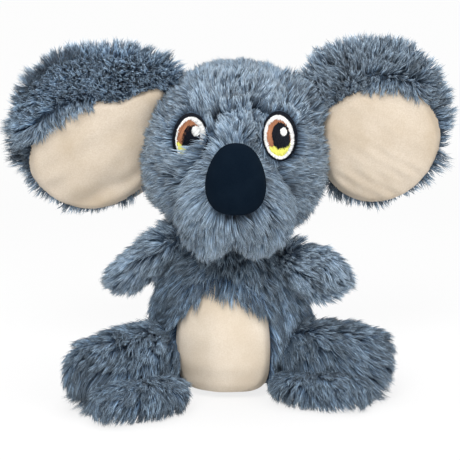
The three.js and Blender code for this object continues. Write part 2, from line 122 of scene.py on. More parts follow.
# Lamps: place, width and power in watts
LAMPS = {
    "key_light": ((-0.16, -0.80, 0.85), 0.5, 8.4),
    "fill_light": ((0.8, -0.8, 0.5), 1.0, 5.0),
    "top_light": ((0.0, 0.1, 1.0), 0.7, 5.5),
}

# Kinds of pile: how much their strands vary, and how their shades at the root, the middle and the
# tip are tinted. On the body and on the ears' bands the tints are painted shade: a bluish cast
# that is strongest at the root, and the bands' pile is darker overall
PILES = {
    "pile": (1.4, ((1, 1, 1), (1, 1, 1), (1, 1, 1))),
    "body_pile": (1.4, ((0.86, 1.12, 1.38), (0.94, 1.03, 1.11), (0.97, 1.01, 1.04))),
    "ear_band_pile": (1.7, ((0.76, 0.98, 1.22), (0.83, 0.93, 1.01), (0.86, 0.91, 0.95))),
}


def length(name, default, description):
    return bpy.props.FloatProperty(
        name=name, default=default, description=description, unit="LENGTH", min=0.0, precision=5
    )


def colour(name, default, description):
    return bpy.props.FloatVectorProperty(
        name=name, default=default, description=description,
        subtype="COLOR", size=3, min=0.0, max=1.0,
    )


class KoalaSizes(bpy.types.PropertyGroup):
    """Sizes of the stuffed forms"""

    torso_width: length("Torso width", 0.096, "Widest part of the torso")
    torso_depth: length("Torso depth", 0.086, "Torso from belly to back")
    torso_height: length("Torso height", 0.102, "Torso from the seat to its top")
    seat_flat: length("Seat flat", 0.0005, "Depth of the flat pressed into the seat")
    belly_width: length("Belly width", 0.056, "Width of the smooth belly panel")
    belly_top: length("Belly top", 0.072, "Top of the belly panel above the seat")
    belly_foot: length("Belly foot", 0.0022, "Foot of the belly panel above the seat")
    head_width: length("Head width", 0.106, "Head across the cheeks")
    head_depth: length("Head depth", 0.094, "Head from front to back")
    head_height: length("Head height", 0.104, "Head from jaw to crown")
    head_shift: length("Head shift", 0.0032, "The neck's distance from the seat's middle")
    neck_sink: length("Neck sink", 0.010, "How deep the head sits in the torso")
    muzzle_height: length("Muzzle height", 0.098, "From between the eyes to the jowls")
    muzzle_drop: length("Muzzle drop", 0.0085, "Its middle below the head's middle")
    muzzle_reach: length("Muzzle reach", 0.073, "From the neck's axis to its front")
    muzzle_depth: length("Muzzle depth", 0.066, "Depth of the whole muzzle form")
    jowl_width: length("Jowl width", 0.066, "Muzzle across both jowls")
    bridge_width: length("Bridge width", 0.027, "Muzzle between the eyes")
    jowl_notch: length("Jowl notch", 0.007, "Groove between the jowls")
    jowl_notch_width: length("Jowl notch width", 0.020, "Width of that groove")
    nose_width: length("Nose width", 0.033, "Widest part of the nose")
    nose_height: length("Nose height", 0.040, "Nose from top to bottom")
    nose_depth: length("Nose depth", 0.022, "Depth of the padded nose")
    nose_stand_out: length("Nose stand out", 0.008, "How far the nose stands out")
    nose_rise: length("Nose rise", 0.0028, "Above the muzzle's middle")
    eye_spacing: length("Eye spacing", 0.050, "Between the middles of the eyes")
    eye_rise: length("Eye rise", 0.0135, "Above the head's middle")
    eye_width: length("Eye width", 0.020, "Outer width of the stitched eye")
    eye_height: length("Eye height", 0.0275, "Outer height of the stitched eye")
    ear_width: length("Ear width", 0.088, "Ear from its root to its outer rim")
    ear_height: length("Ear height", 0.102, "Ear from top to bottom")
    ear_thickness: length("Ear thickness", 0.027, "Stuffed thickness of an ear")
    ear_set_back: length("Ear set back", 0.009, "Ear behind the neck's axis")
    arm_length: length("Arm length", 0.043, "From the shoulder seam to the paw")
    arm_sunk: length("Arm sunk", 0.015, "Arm form run on into the torso")
    shoulder_width: length("Shoulder width", 0.026, "Arm at the shoulder")
    paw_width: length("Paw width", 0.035, "Arm at the paw")
    shoulder_spread: length("Shoulder spread", 0.035, "Seam from the torso's middle")
    shoulder_set: length("Shoulder set", 0.011, "Seam in front of the middle")
    leg_length: length("Leg length", 0.062, "From the hip seam to the tip")
    leg_sunk: length("Leg sunk", 0.024, "Leg form run on into the torso")
    hip_width: length("Hip width", 0.038, "Leg at the hip")
    knee_width: length("Knee width", 0.042, "Leg at its tip")
    leg_round: length("Leg height", 0.040, "Height of the thickest part")
    hip_spread: length("Hip spread", 0.038, "Hip seam from the torso's middle")
    sole_depth: length("Sole depth", 0.005, "Leg above the floor")
    foot_length: length("Foot length", 0.062, "Foot from heel to toe")
    heel_width: length("Heel width", 0.034, "Foot at the heel")
    toe_width: length("Toe width", 0.040, "Foot at the toes")
    foot_height: length("Foot height", 0.025, "Thickness of the foot")


class KoalaPile(bpy.types.PropertyGroup):
    """The long pile and its backing"""

    pile_length: length("Pile length", 0.0135, "Length of a strand of pile")
    strand_radius: length("Strand radius", 0.00025, "Radius of a strand at its root")
    backing_depth: length("Backing depth", 0.005, "Backing below the laid pile")
    strands: bpy.props.FloatProperty(
        name="Strands", default=235.0, min=1.0, description="Strands to a square centimetre"
    )
    seed: bpy.props.IntProperty(name="Seed", default=7, min=0, description="Order of the pile")


class KoalaColours(bpy.types.PropertyGroup):
    """Colours of the fabrics and threads"""

    # The pile is darker towards its roots, partly its own tone and partly painted shade among the
    # strands
    pile_deep: colour("Pile, deep", (0.040, 0.071, 0.118), "Pile near its roots")
    pile_middle: colour("Pile, middle", (0.178, 0.256, 0.350), "Pile along its length")
    pile_light: colour("Pile, light", (0.415, 0.520, 0.620), "Pile at its tips")
    cream: colour("Cream", (0.66, 0.575, 0.475), "Ear linings")
    cream_shade: colour("Cream shade", (0.46, 0.355, 0.235), "Ear linings in the folds")
    belly: colour("Belly", (0.74, 0.655, 0.55), "Belly panel")
    belly_shade: colour("Belly shade", (0.56, 0.455, 0.33), "Belly panel in its hollows")
    nose: colour("Nose", (0.0022, 0.0062, 0.0130), "Nose cover")
    nose_light: colour("Nose, brushed", (0.0050, 0.0110, 0.0200), "Nose cover where it is brushed")
    thread_black: colour("Black thread", (0.004, 0.006, 0.012), "Outline and pupil")
    thread_white: colour("White thread", (0.88, 0.88, 0.87), "Ring and glint")
    thread_orange: colour("Orange thread", (0.43, 0.19, 0.10), "Iris")
    thread_yellow: colour("Yellow thread", (0.80, 0.78, 0.16), "Light at the foot of the iris")
    wadding: colour("Wadding", (0.80, 0.80, 0.77), "Stuffing")
    floor: colour("Floor", (0.86, 0.86, 0.86), "Plain pale floor")


def sizes():
    return bpy.context.scene.koala_sizes


def pile():
    return bpy.context.scene.koala_pile


def colours():
    return bpy.context.scene.koala_colours


def chance(offset):
    """A seeded source of chance, one for each group of pieces."""
    return np.random.default_rng(pile().seed + offset)


# Small geometry


def smooth_step(low, high, x):
    """From 0 at low to 1 at high, level at both, also where low is the greater."""
    t = np.clip((x - low) / (high - low), 0, 1)
    return t * t * (3 - 2 * t)


def unit(v):
    return v / np.maximum(np.linalg.norm(v, axis=-1, keepdims=True), 1e-12)


def laid(direction, normals):
    """The direction laid flat on the surface."""
    return unit(direction - (direction * normals).sum(-1, keepdims=True) * normals)


def aimed(way, normals, least=20, most=75):
    """Flow and rise of pile that points a given way off a surface."""
    out = (normals * way).sum(-1)
    return laid(way, normals), np.clip(np.degrees(np.arcsin(np.clip(out, -1, 1))), least, most)


def turn(axis, degrees):
    return Matrix.Rotation(math.radians(degrees), 4, axis)


def ripple(points, size, seed, waves=5):
    """A smooth unevenness between about -1 and 1, with humps of about that size."""
    rng = np.random.default_rng(seed)
    ways = unit(rng.normal(size=(waves, 3))) * (2 * math.pi / size)
    ways = ways * rng.uniform(0.6, 1.5, (waves, 1))
    phases = rng.uniform(0, 2 * math.pi, waves)
    return np.sin(points @ ways.T + phases).sum(-1) / math.sqrt(waves)


def ripples(points, size, seed):
    """Ripples along X, Y and Z."""
    return np.stack([ripple(points, size, seed + k) for k in range(3)], -1)


def above_floor(points, gap):
    """Moves points that are lower than the gap up to it."""
    points[..., 2] = np.maximum(points[..., 2], gap)


def kept(mask, *arrays):
    """The rows of each array that the mask keeps."""
    return [array[mask] for array in arrays]


def rounded_steps(count):
    """Places from -1 to 1, closer together towards both ends."""
    return -np.cos(np.linspace(0, math.pi, count))


def circle(count):
    """Directions all round, evenly apart."""
    angle = np.linspace(0, 2 * math.pi, count, endpoint=False)
    return np.stack([np.cos(angle), np.sin(angle)], -1)


def tube_quads(around, along):
    """Faces of a tube: that many points to a ring, and that many bands between rings."""
    ring = np.arange(around)
    row = np.arange(along)[:, None] * around
    first, second = (row + ring).ravel(), (row + np.roll(ring, -1)).ravel()
    return np.stack([first, second, second + around, first + around], -1)


class Form:
    """A stuffed form: oval sections strung along an axis, in a frame of its own.
    section(t, grow) gives half width, half depth, the middle's shift and the place
    along the axis, for t from -1 to 1."""

    def __init__(self, place, section, upright=True, notch=None, lean=None):
        self.place = np.array(place)
        self.section = section
        self.upright = upright
        self.notch = notch
        self.lean = lean or np.zeros_like
        self.steps = rounded_steps(200)

    def to_local(self, points):
        back = np.linalg.inv(self.place)
        local = points @ back[:3, :3].T + back[:3, 3]
        return local if self.upright else local[:, [1, 2, 0]]

    def to_world(self, local):
        if not self.upright:
            local = local[:, [2, 0, 1]]
        return local @ self.place[:3, :3].T + self.place[:3, 3]

    def direction(self, vector):
        return unit(self.place[:3, :3] @ np.array(vector, float))

    def surface(self, grow, around=96, along=64):
        """The form's points and faces, grown by that much."""
        t = rounded_steps(along + 1)
        half_width, half_depth, middle, axial = self.section(t, grow)
        angle = np.linspace(0, 2 * math.pi, around, endpoint=False)
        p = self.lean(t)[:, None] + half_width[:, None] * np.cos(angle)
        q = middle[:, None] + half_depth[:, None] * np.sin(angle)
        z = np.repeat(axial[:, None], around, 1)
        if self.notch:
            z = z + self.notch(p, t[:, None])
        local = np.stack([p, q, z], -1).reshape(-1, 3)
        return self.to_world(local), tube_quads(around, along)

    def section_at(self, height, grow):
        """The lean, half width, half depth and middle at places along the axis, and the
        axis's ends."""
        axial = self.section(self.steps, grow)[3]
        t = np.interp(height, axial, self.steps)
        half_width, half_depth, middle, _ = self.section(t, grow)
        return self.lean(t), np.maximum(half_width, 1e-5), half_depth, middle, axial[[0, -1]]

    def reach(self, points, grow=0.0):
        """Below 1 inside the form, above 1 outside."""
        local = self.to_local(points)
        lean, half_width, half_depth, middle, ends = self.section_at(local[:, 2], grow)
        far = np.hypot(
            (local[:, 0] - lean) / half_width,
            (local[:, 1] - middle) / np.maximum(half_depth, 1e-5),
        )
        beyond = (local[:, 2] < ends.min()) | (local[:, 2] > ends.max())
        return np.where(beyond, OUTSIDE, far)

    def holds(self, points, grow=0.0):
        return self.reach(points, grow) < 1

    def front(self, x, z, grow=0.0):
        """The form's front, in its own frame, over places in X and Z."""
        lean, half_width, half_depth, middle, _ = self.section_at(z, grow)
        inner = np.clip(1 - ((x - lean) / half_width) ** 2, 0, 1)
        return middle - half_depth * np.sqrt(inner)


def ring_of(t):
    """How wide a ball is at shares of its height from -1 to 1. A power of it below 1
    is squarer."""
    return np.sqrt(np.clip(1 - t * t, 0, 1))


def head_place():
    """The middle of the head, which the muzzle, nose, eyes and ears are placed by."""
    s = sizes()
    middle = s.torso_height + s.head_height / 2 - s.neck_sink
    return Matrix.Translation((s.head_shift, 0, middle))


def head_form():
    s = sizes()

    def section(t, grow):
        full = ring_of(t) ** 0.84
        cheek = 1 - 0.15 * t
        return (
            full * (s.head_width / 2 + grow) * cheek,
            full * (s.head_depth / 2 + grow),
            np.zeros_like(t),
            t * (s.head_height / 2 + grow),
        )

    return Form(head_place(), section)


def muzzle_form():
    s = sizes()

    def section(t, grow):
        full = ring_of(t) ** 0.66
        low = smooth_step(-0.45, 0.4, -t)
        half_width = (s.bridge_width + (s.jowl_width - s.bridge_width) * low) / 2
        half_depth = s.muzzle_depth / 2 * (0.4 + 0.6 * low)
        return (
            full * (half_width + grow),
            full * (half_depth + grow),
            np.full_like(t, s.muzzle_depth / 2 - s.muzzle_reach),
            t * (s.muzzle_height / 2 + grow) - s.muzzle_drop,
        )

    def notch(p, t):
        away = np.exp(-((p / (s.jowl_notch_width / 2)) ** 2))
        return s.jowl_notch * away * smooth_step(0.5, 1, -t)

    return Form(head_place(), section, notch=notch)


def nose_form():
    s = sizes()

    def section(t, grow):
        full = ring_of(t) ** 0.8
        taper = 1 - 0.14 * t
        return (
            full * (s.nose_width / 2 + grow) * taper,
            full * (s.nose_depth / 2 + grow),
            np.full_like(t, s.nose_depth / 2 - s.nose_stand_out - s.muzzle_reach),
            t * (s.nose_height / 2 + grow) + s.nose_rise - s.muzzle_drop,
        )

    return Form(head_place(), section)


def torso_form():
    s = sizes()
    shares = np.linspace(-1, 1, len(TORSO_RADII))
    fine = np.linspace(-1, 1, 400)
    blur = np.hanning(31) / np.hanning(31).sum()

    def eased(table):
        line = np.interp(fine, shares, table)
        return np.convolve(np.pad(line, 15, mode="reflect", reflect_type="odd"), blur, "valid")

    radii, heights = eased(TORSO_RADII), np.maximum.accumulate(eased(TORSO_HEIGHTS))
    heights = heights + np.linspace(0, 1e-4, 400)

    def section(t, grow):
        radius = np.interp(t, fine, radii)
        radius = np.where(np.abs(t) >= 1, 0, np.maximum(radius, 0))
        swell = grow * np.clip(radius * 3, 0, 1)
        height = (s.torso_height + s.seat_flat + 2 * grow) * np.interp(t, fine, heights)
        return (
            s.torso_width / 2 * radius + swell,
            s.torso_depth / 2 * radius + swell,
            np.zeros_like(t),
            height - s.seat_flat - grow,
        )

    return Form(turn("Z", TORSO_TURN), section)


def ear_form(pose):
    s = sizes()
    side = pose["side"]
    out = s.head_width / 2 + s.ear_width / 2 - pose["sink"]
    middle = head_place() @ Vector((side * out, s.ear_set_back, pose["rise"]))
    place = (
        Matrix.Translation(middle)
        @ turn("Z", side * pose["sweep"])
        @ turn("Y", side * pose["roll"])
        @ turn("X", pose["nod"])
    )

    def section(t, grow):
        full = ring_of(t)
        return (
            full * (s.ear_width / 2 + grow) + lobe(t) / 2,
            full * (s.ear_thickness / 2 + grow),
            np.zeros_like(t),
            t * (s.ear_height / 2 + grow),
        )

    def lobe(t):
        return pose["lobe"] * ring_of(t) ** 0.4 * smooth_step(0, 1, t)

    return Form(place, section, lean=lambda t: -side * lobe(t) / 2)


def heading(side, forward):
    """The level way that a limb points, turned forward by so many degrees."""
    return turn("Z", -side * forward) @ Vector((side, 0, 0))


def limb_place(point, side, forward, rise, roll):
    """A limb's own frame: X along it, Y across and Z up, before it is rolled."""
    level = heading(side, forward)
    lifting = level.cross(Vector((0, 0, 1)))
    lift = Matrix.Rotation(math.radians(rise), 3, lifting)
    along, up = lift @ level, lift @ Vector((0, 0, 1))
    across = up.cross(along)
    basis = Matrix((along, across, up)).transposed().to_4x4()
    return Matrix.Translation(point) @ basis @ turn("X", roll)


def limb_form(place, reach, sunk, root_width, tip_width, height_share):
    """A limb that runs on into its neighbour by how far it is sunk."""
    middle = (root_width + tip_width) / 4

    def section(t, grow):
        way = (1 + t) / 2
        radius = (root_width + (tip_width - root_width) * way) / 2 + grow
        full = ring_of(t) ** 0.7
        flat = (middle * height_share + grow) / (middle + grow)
        return (
            radius * full,
            radius * full * flat,
            np.zeros_like(t),
            way * (reach + sunk + 2 * grow) - sunk - grow,
        )

    return Form(place, section, upright=False)


def bend_at(neighbour, start, way, before, after):
    """A neighbour's body and two points along the way, before and after the seam's middle, where a
    piece meets it."""
    return neighbour, start - way * before, start + way * after


def limb_seam(form):
    """The middle of a limb's seam, and the way that the limb points."""
    return Vector(form.place[:3, 3]), Vector(form.direction((1, 0, 0)))


def arm_form(pose):
    s = sizes()
    side = pose["side"]
    start = turn("Z", TORSO_TURN) @ Vector(
        (side * s.shoulder_spread, -s.shoulder_set, s.torso_height * pose["height"])
    )
    place = limb_place(start, side, pose["forward"], -pose["droop"], pose["roll"])
    return limb_form(place, s.arm_length, s.arm_sunk, s.shoulder_width, s.paw_width, 0.74)


def leg_form(pose):
    s = sizes()
    side = pose["side"]
    hip = turn("Z", TORSO_TURN) @ Vector(
        (side * s.hip_spread, -pose["hip_set"], s.sole_depth + s.leg_round / 2)
    )
    place = limb_place(hip, side, pose["forward"], pose["rise"], 0)
    share = 2 * s.leg_round / (s.hip_width + s.knee_width)
    return limb_form(place, s.leg_length, s.leg_sunk, s.hip_width, s.knee_width, share)


def foot_form(pose):
    s = sizes()
    side, forward = pose["side"], pose["forward"]
    hip = Vector(leg_form(pose).place[:3, 3])
    toe_way = forward + pose["foot_turn"]
    heel = (
        hip
        + heading(side, forward) * (s.leg_length / 2 + pose["foot_along"])
        + heading(side, forward + 90) * pose["foot_ahead"]
        - heading(side, toe_way) * (s.foot_length / 2)
    )
    heel.z = s.foot_height / 2 - s.seat_flat
    place = limb_place(heel, side, toe_way, 0, 0)
    share = 2 * s.foot_height / (s.heel_width + s.toe_width)
    return limb_form(place, s.foot_length, 0, s.heel_width, s.toe_width, share)


# Meshes and pieces


def new_piece(name, points, faces, uv=None):
    """A smooth-shaded mesh from points, arrays of faces and a map."""
    faces = [np.asarray(f) for f in faces if len(f)]
    corners = np.concatenate([f.ravel() for f in faces]).astype(np.int32)
    counts = np.concatenate([np.full(len(f), f.shape[1]) for f in faces])
    starts = np.concatenate([[0], np.cumsum(counts)[:-1]]).astype(np.int32)
    mesh = bpy.data.meshes.new(name)
    mesh.vertices.add(len(points))
    mesh.vertices.foreach_set("co", np.asarray(points, np.float32).ravel())
    mesh.loops.add(len(corners))
    mesh.loops.foreach_set("vertex_index", corners)
    mesh.polygons.add(len(starts))
    mesh.polygons.foreach_set("loop_start", starts)
    if uv is not None:
        layer = mesh.uv_layers.new(name=UV_MAP)
        layer.data.foreach_set("uv", np.asarray(uv, np.float32)[corners].ravel())
    mesh.update(calc_edges=True)
    mesh.shade_smooth()
    obj = bpy.data.objects.new(name, mesh)
    bpy.context.scene.collection.objects.link(obj)
    return obj


def add_piece(name, points, faces, material, body, bend=None, node=None, uv=None):
    """A piece in its material. Without a bend it moves with its body; with one its points are only
    baked into place. Where a node is given, that part is hidden."""
    obj = new_piece(name, points, faces, uv)
    obj.data.materials.append(bpy.data.materials[material])
    if bend is None:
        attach(obj, body)
    else:
        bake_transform(obj)
    if node is not None:
        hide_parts(node)


# Pile


def scatter(rng, form, share=1.0):
    """Root places all over a form's backing, and the surface's normal at each. share is
    how many strands there are, against the usual number."""
    points, quads = form.surface(-pile().backing_depth)
    a, b, c, d = (points[quads[:, k]] for k in range(4))
    crossed = np.cross(c - a, d - b)
    area = np.linalg.norm(crossed, axis=1) / 2
    normals = np.zeros_like(points)
    for k in range(4):
        np.add.at(normals, quads[:, k], crossed)
    normals = unit(normals)
    count = int(area.sum() * pile().strands * SQUARE_CENTIMETRES * share)
    pick = rng.choice(len(quads), count, p=area / area.sum())
    u, v = rng.random((2, count, 1))
    weights = [(1 - u) * (1 - v), u * (1 - v), u * v, (1 - u) * v]
    roots = sum(w * points[quads[pick, k]] for k, w in enumerate(weights))
    around = unit(sum(w * normals[quads[pick, k]] for k, w in enumerate(weights)))
    return roots, around


def gather(rng, roots, path, size, pinch, pull):
    """Draws strands towards the middle strand of their tuft. Returns the paths, each
    strand's tuft and how far it stands from the tuft's middle."""
    s = STRAND_SHARES[None, :, None]
    heads = rng.choice(len(roots), max(1, len(roots) // size), replace=False)
    tree = kdtree.KDTree(len(heads))
    for k, i in enumerate(heads):
        tree.insert(roots[i], k)
    tree.balance()
    nearest = np.array([tree.find(p)[1] for p in roots])
    apart = roots - roots[heads[nearest]]
    drawn = path[heads[nearest]] + apart[:, None] * (1 - pinch * s)
    return path * (1 - pull) + drawn * pull, nearest, np.linalg.norm(apart, axis=1)


def grow_strands(rng, roots, normals, flow, rise, reach, pinch=0.42, curl=0.0, tufts=(90, 8)):
    """Strands that rise from their roots, lie over along the flow and gather in wisps
    and locks. Returns their points, four to a strand, and a tone for each."""
    count = len(roots)
    to_a_lock, to_a_wisp = tufts
    s = STRAND_SHARES[None, :, None]
    # The flow wanders over patches of 34 and 12 mm, and from strand to strand
    bent = flow + 0.26 * ripples(roots, 0.034, 17) + 0.17 * ripples(roots, 0.012, 11)
    flow = laid(bent + 0.17 * rng.normal(size=(count, 3)), normals)
    angle = np.radians(rise) + rng.normal(0, 0.11, count) + 0.10 * ripple(roots, 0.02, 23)
    angle = angle[:, None, None]
    reach = (reach * rng.uniform(0.74, 1.1, count))[:, None, None]
    # A strand rises off its root, bows over and droops at its tip
    up = np.sin(angle) * (1.45 * s - 0.45 * s * s)
    over = np.cos(angle) * (0.5 * s + 0.5 * s * s)
    path = roots[:, None] + reach * (normals[:, None] * up + flow[:, None] * over)
    path[:, :, 2] -= (0.1 * reach * s * s)[:, :, 0]

    # Wisps are drawn together within locks, and their outer strands are shorter
    path, locks, _ = gather(rng, roots, path, to_a_lock, 0.25, 0.5)
    path, wisps, edge = gather(rng, roots, path, to_a_wisp, pinch, 0.65)
    shorter = 1 - 0.18 * np.clip(edge / (np.percentile(edge, 90) + 1e-9), 0, 1.3)
    path = roots[:, None] + (path - roots[:, None]) * shorter[:, None, None]

    # Each wisp waves and curls its own way, and each tip strays a little
    phase = rng.uniform(0, 2 * math.pi, wisps.max() + 1)[wisps][:, None, None]
    side = np.cross(normals, flow)[:, None]
    path = path + side * np.sin(phase + 4.5 * s) * (0.0005 + 0.0022 * curl) * s
    path = path + normals[:, None] * np.cos(phase + 5.5 * s) * (0.0018 * curl) * s
    path = path + rng.normal(size=(count, 1, 3)) * 0.0006 * s**1.4
    above_floor(path, 0.0005)

    # Tone differs from lock to lock, wisp to wisp and strand to strand
    tone = 0.5 + rng.normal(0, 0.07, locks.max() + 1)[locks]
    tone = tone + rng.normal(0, 0.13, wisps.max() + 1)[wisps]
    return path, tone + rng.normal(0, 0.24, count) + 0.05 * ripple(roots, 0.03, 5)


def plant(name, body, path, tone, material, bend=None):
    """Makes the strands into pieces of pile, three sides to a strand."""
    order = np.argsort(path[:, 0, 0])
    path, tone = path[order], np.clip(tone[order], 0.03, 0.97)
    pieces = math.ceil(len(path) / STRANDS_TO_A_PIECE)
    radius = (pile().strand_radius * STRAND_TAPER)[None, :, None]
    quads = tube_quads(3, 2)
    tips = np.array([[6 + j, 6 + (j + 1) % 3, 9] for j in range(3)])
    # The sides of a strand differ a little in tone, as if one caught more light
    tone_across = np.array([-0.016, 0.0, 0.016] * 3 + [0.0])
    for part, rows in enumerate(np.array_split(np.arange(len(path)), pieces)):
        p, count = path[rows], len(rows)
        along = unit(np.gradient(p, axis=1))
        first = unit(np.cross(along, along[:, :1] + np.array([0.31, 0.52, 0.79])))
        second = np.cross(along, first)
        rings = []
        for angle in (0, 2 * math.pi / 3, 4 * math.pi / 3):
            off = math.cos(angle) * first[:, :3] + math.sin(angle) * second[:, :3]
            rings.append(p[:, :3] + radius * off)
        rings = np.stack(rings, 2).reshape(count, 9, 3)
        points = np.concatenate([rings, p[:, 3:]], 1).reshape(-1, 3)
        across = np.tile(tone_across, (count, 1)) + tone[rows][:, None]
        share = np.tile(np.repeat(STRAND_SHARES, [3, 3, 3, 1]), (count, 1))
        uv = np.stack([across, 0.02 + 0.96 * share], -1).reshape(-1, 2)
        start = np.arange(count)[:, None, None] * 10
        faces = [(start + quads).reshape(-1, 4), (start + tips).reshape(-1, 3)]
        suffix = f"_{part + 1}" if pieces > 1 else ""
        add_piece(name + suffix, points, faces, material, body, bend, uv=uv)


def grow_pile(
    rng, name, body, roots, normals, flow, rise, reach, tone, material="pile", bend=None, **more
):
    """Grows strands along the flow, tones them and makes them into pieces."""
    flow = laid(flow, normals)
    path, own_tone = grow_strands(rng, roots, normals, flow, rise, reach, **more)
    plant(name, body, path, own_tone + tone, material, bend)


# Backing and wadding


def lumpy(points, centre, depth=0.0009):
    """Stuffing is never quite even: it has lumps of about 35 mm."""
    return points + unit(points - centre) * (ripple(points, 0.035, 3) * depth)[:, None]


def add_backing(name, body, form, node, keep=None, raise_by=None, bend=None):
    """The fabric that the pile grows on, over the whole form or where keep says."""
    points, quads = form.surface(-pile().backing_depth, *BACKING_GRID)
    if raise_by is not None:
        outer, _ = form.surface(0, *BACKING_GRID)
        share = raise_by(outer)[:, None]
        points = points * (1 - share) + outer * share
    else:
        points = lumpy(points, form.place[:3, 3])
    above_floor(points, 0.0002)
    if keep is not None:
        quads = quads[keep(points[quads].mean(1))]
        used, quads = np.unique(quads, return_inverse=True)
        points, quads = points[used], quads.reshape(-1, 4)
    add_piece(name, points, [quads], "backing", body, bend, node)


def add_wadding(name, body, forms, node):
    """The stuffing inside a skin: one closed lumpy mass."""
    points, faces = [], []
    inside = pile().backing_depth + WADDING_GAP
    for form in forms:
        form_points, quads = form.surface(-inside, *WADDING_GRID)
        faces.append(quads + sum(len(p) for p in points))
        points.append(lumpy(form_points, form.place[:3, 3], 0.0006))
    points = np.concatenate(points)
    above_floor(points, 0.001)
    add_piece(name, points, faces, "stuffing", body, node=node)


def smooth_panel(form, edge, grow, settle):
    """A panel of smooth plush on a form's front, inside its seam line: rings of points
    from its middle out to its edge. settle says how it lies on the form."""
    rings = np.linspace(0, 1, 30)[1:]
    count, middle = len(edge), edge.mean(0)
    flat = middle + (edge - middle)[None] * rings[:, None, None]
    flat = np.concatenate([middle[None], flat.reshape(-1, 2)])
    share = np.concatenate([[0], np.repeat(rings, count)])
    at = np.stack([flat[:, 0], np.zeros(len(flat)), flat[:, 1]], -1)
    y = settle(form.front(flat[:, 0], flat[:, 1], grow), at, share)
    points = form.to_world(np.stack([flat[:, 0], y, flat[:, 1]], -1))
    ring = np.arange(count)
    fan = np.stack([np.zeros(count, int), 1 + ring, 1 + np.roll(ring, -1)], -1)
    quads = 1 + tube_quads(count, len(rings) - 1)[:, [0, 3, 2, 1]]
    return points, [quads, fan]


# Materials


def new_group(name, inputs, outputs):
    """A shader node group with its sockets: a colour, or a number by its default."""
    group = bpy.data.node_groups.new(name, "ShaderNodeTree")
    for label, default in inputs.items():
        kind = "NodeSocketColor" if default is None else "NodeSocketFloat"
        socket = group.interface.new_socket(label, in_out="INPUT", socket_type=kind)
        if default is not None:
            socket.default_value = default
    for label, kind in outputs.items():
        group.interface.new_socket(label, in_out="OUTPUT", socket_type=kind)
    nodes = group.nodes
    given, out = nodes.new("NodeGroupInput").outputs, nodes.new("NodeGroupOutput").inputs
    return nodes, group.links, given, out


def set_inputs(node, values):
    for label, value in values.items():
        node.inputs[label].default_value = value


def feed(links, socket, value):
    """Links another node's output to a socket, or sets the socket's own value."""
    if isinstance(value, bpy.types.NodeSocket):
        links.new(value, socket)
    else:
        socket.default_value = value


def calculate(nodes, links, operation, *values):
    node = nodes.new("ShaderNodeMath")
    node.operation = operation
    for socket, value in zip(node.inputs, values):
        feed(links, socket, value)
    return node.outputs[0]


def mix_colours(nodes, links, factor, first, second):
    node = nodes.new("ShaderNodeMix")
    node.data_type = "RGBA"
    for place, value in ((0, factor), (6, first), (7, second)):
        feed(links, node.inputs[place], value)
    return node.outputs[2]


def span(nodes, links, value, low, high, to_low=0.0, to_high=1.0):
    """Takes a value from one range smoothly to another."""
    node = nodes.new("ShaderNodeMapRange")
    node.interpolation_type = "SMOOTHSTEP"
    links.new(value, node.inputs["Value"])
    set_inputs(node, {"From Min": low, "From Max": high, "To Min": to_low, "To Max": to_high})
    return node.outputs[0]


def strand_group():
    """Colour along a strand of pile or thread, darker or lighter by its tone."""
    nodes, links, given, out = new_group(
        "Strand colour",
        {"Root": None, "Middle": None, "Tip": None, "Variation": 1.0},
        {"Colour": "NodeSocketColor"},
    )
    place = nodes.new("ShaderNodeUVMap")
    place.uv_map = UV_MAP
    split = nodes.new("ShaderNodeSeparateXYZ")
    links.new(place.outputs[0], split.inputs[0])
    low = span(nodes, links, split.outputs[1], 0.0, 0.55)
    high = span(nodes, links, split.outputs[1], 0.5, 1.0)
    base = mix_colours(nodes, links, low, given["Root"], given["Middle"])
    base = mix_colours(nodes, links, high, base, given["Tip"])
    tone = calculate(nodes, links, "MULTIPLY_ADD", split.outputs[0], 1.0, -0.5)
    value = calculate(nodes, links, "MULTIPLY_ADD", tone, given["Variation"], 1.0)
    bright = nodes.new("ShaderNodeHueSaturation")
    links.new(value, bright.inputs["Value"])
    links.new(base, bright.inputs["Color"])
    links.new(bright.outputs[0], out["Colour"])


def nap_group():
    """Short brushed nap: soft patches of colour, and the height of its fibres."""
    nodes, links, given, out = new_group(
        "Brushed nap",
        {"Base": None, "Shade": None, "Patch size": 30.0, "Fibre size": 1400.0, "Patches": 0.5},
        {"Colour": "NodeSocketColor", "Height": "NodeSocketFloat"},
    )
    place = nodes.new("ShaderNodeTexCoord")
    noises = []
    for label, detail in (("Patch size", 4.0), ("Fibre size", 2.0)):
        noise = nodes.new("ShaderNodeTexNoise")
        noise.inputs["Detail"].default_value = detail
        links.new(place.outputs["Object"], noise.inputs["Vector"])
        links.new(given[label], noise.inputs["Scale"])
        noises.append(noise.outputs[0])
    patch = span(nodes, links, noises[0], 0.35, 0.75)
    fibre = span(nodes, links, noises[1], 0.3, 0.7)
    patches = calculate(nodes, links, "MULTIPLY", patch, given["Patches"])
    fibres = calculate(nodes, links, "MULTIPLY", fibre, 0.34)
    base = mix_colours(nodes, links, patches, given["Base"], given["Shade"])
    base = mix_colours(nodes, links, fibres, base, given["Shade"])
    links.new(base, out["Colour"])
    height = calculate(nodes, links, "MULTIPLY_ADD", noises[0], 2.0, noises[1])
    links.new(height, out["Height"])


def opaque(values):
    """A colour with its fourth number."""
    return (*values, 1.0)


def new_material(name, roughness, sheen=0.0, sheen_roughness=0.5, specular=0.3, tint=(1, 1, 1)):
    material = bpy.data.materials.new(name)
    material.use_nodes = True
    shader = material.node_tree.nodes["Principled BSDF"]
    set_inputs(shader, {
        "Roughness": roughness,
        "Specular IOR Level": specular,
        "Sheen Weight": sheen,
        "Sheen Roughness": sheen_roughness,
        "Sheen Tint": opaque(tint),
    })
    return material, material.node_tree.nodes, material.node_tree.links, shader


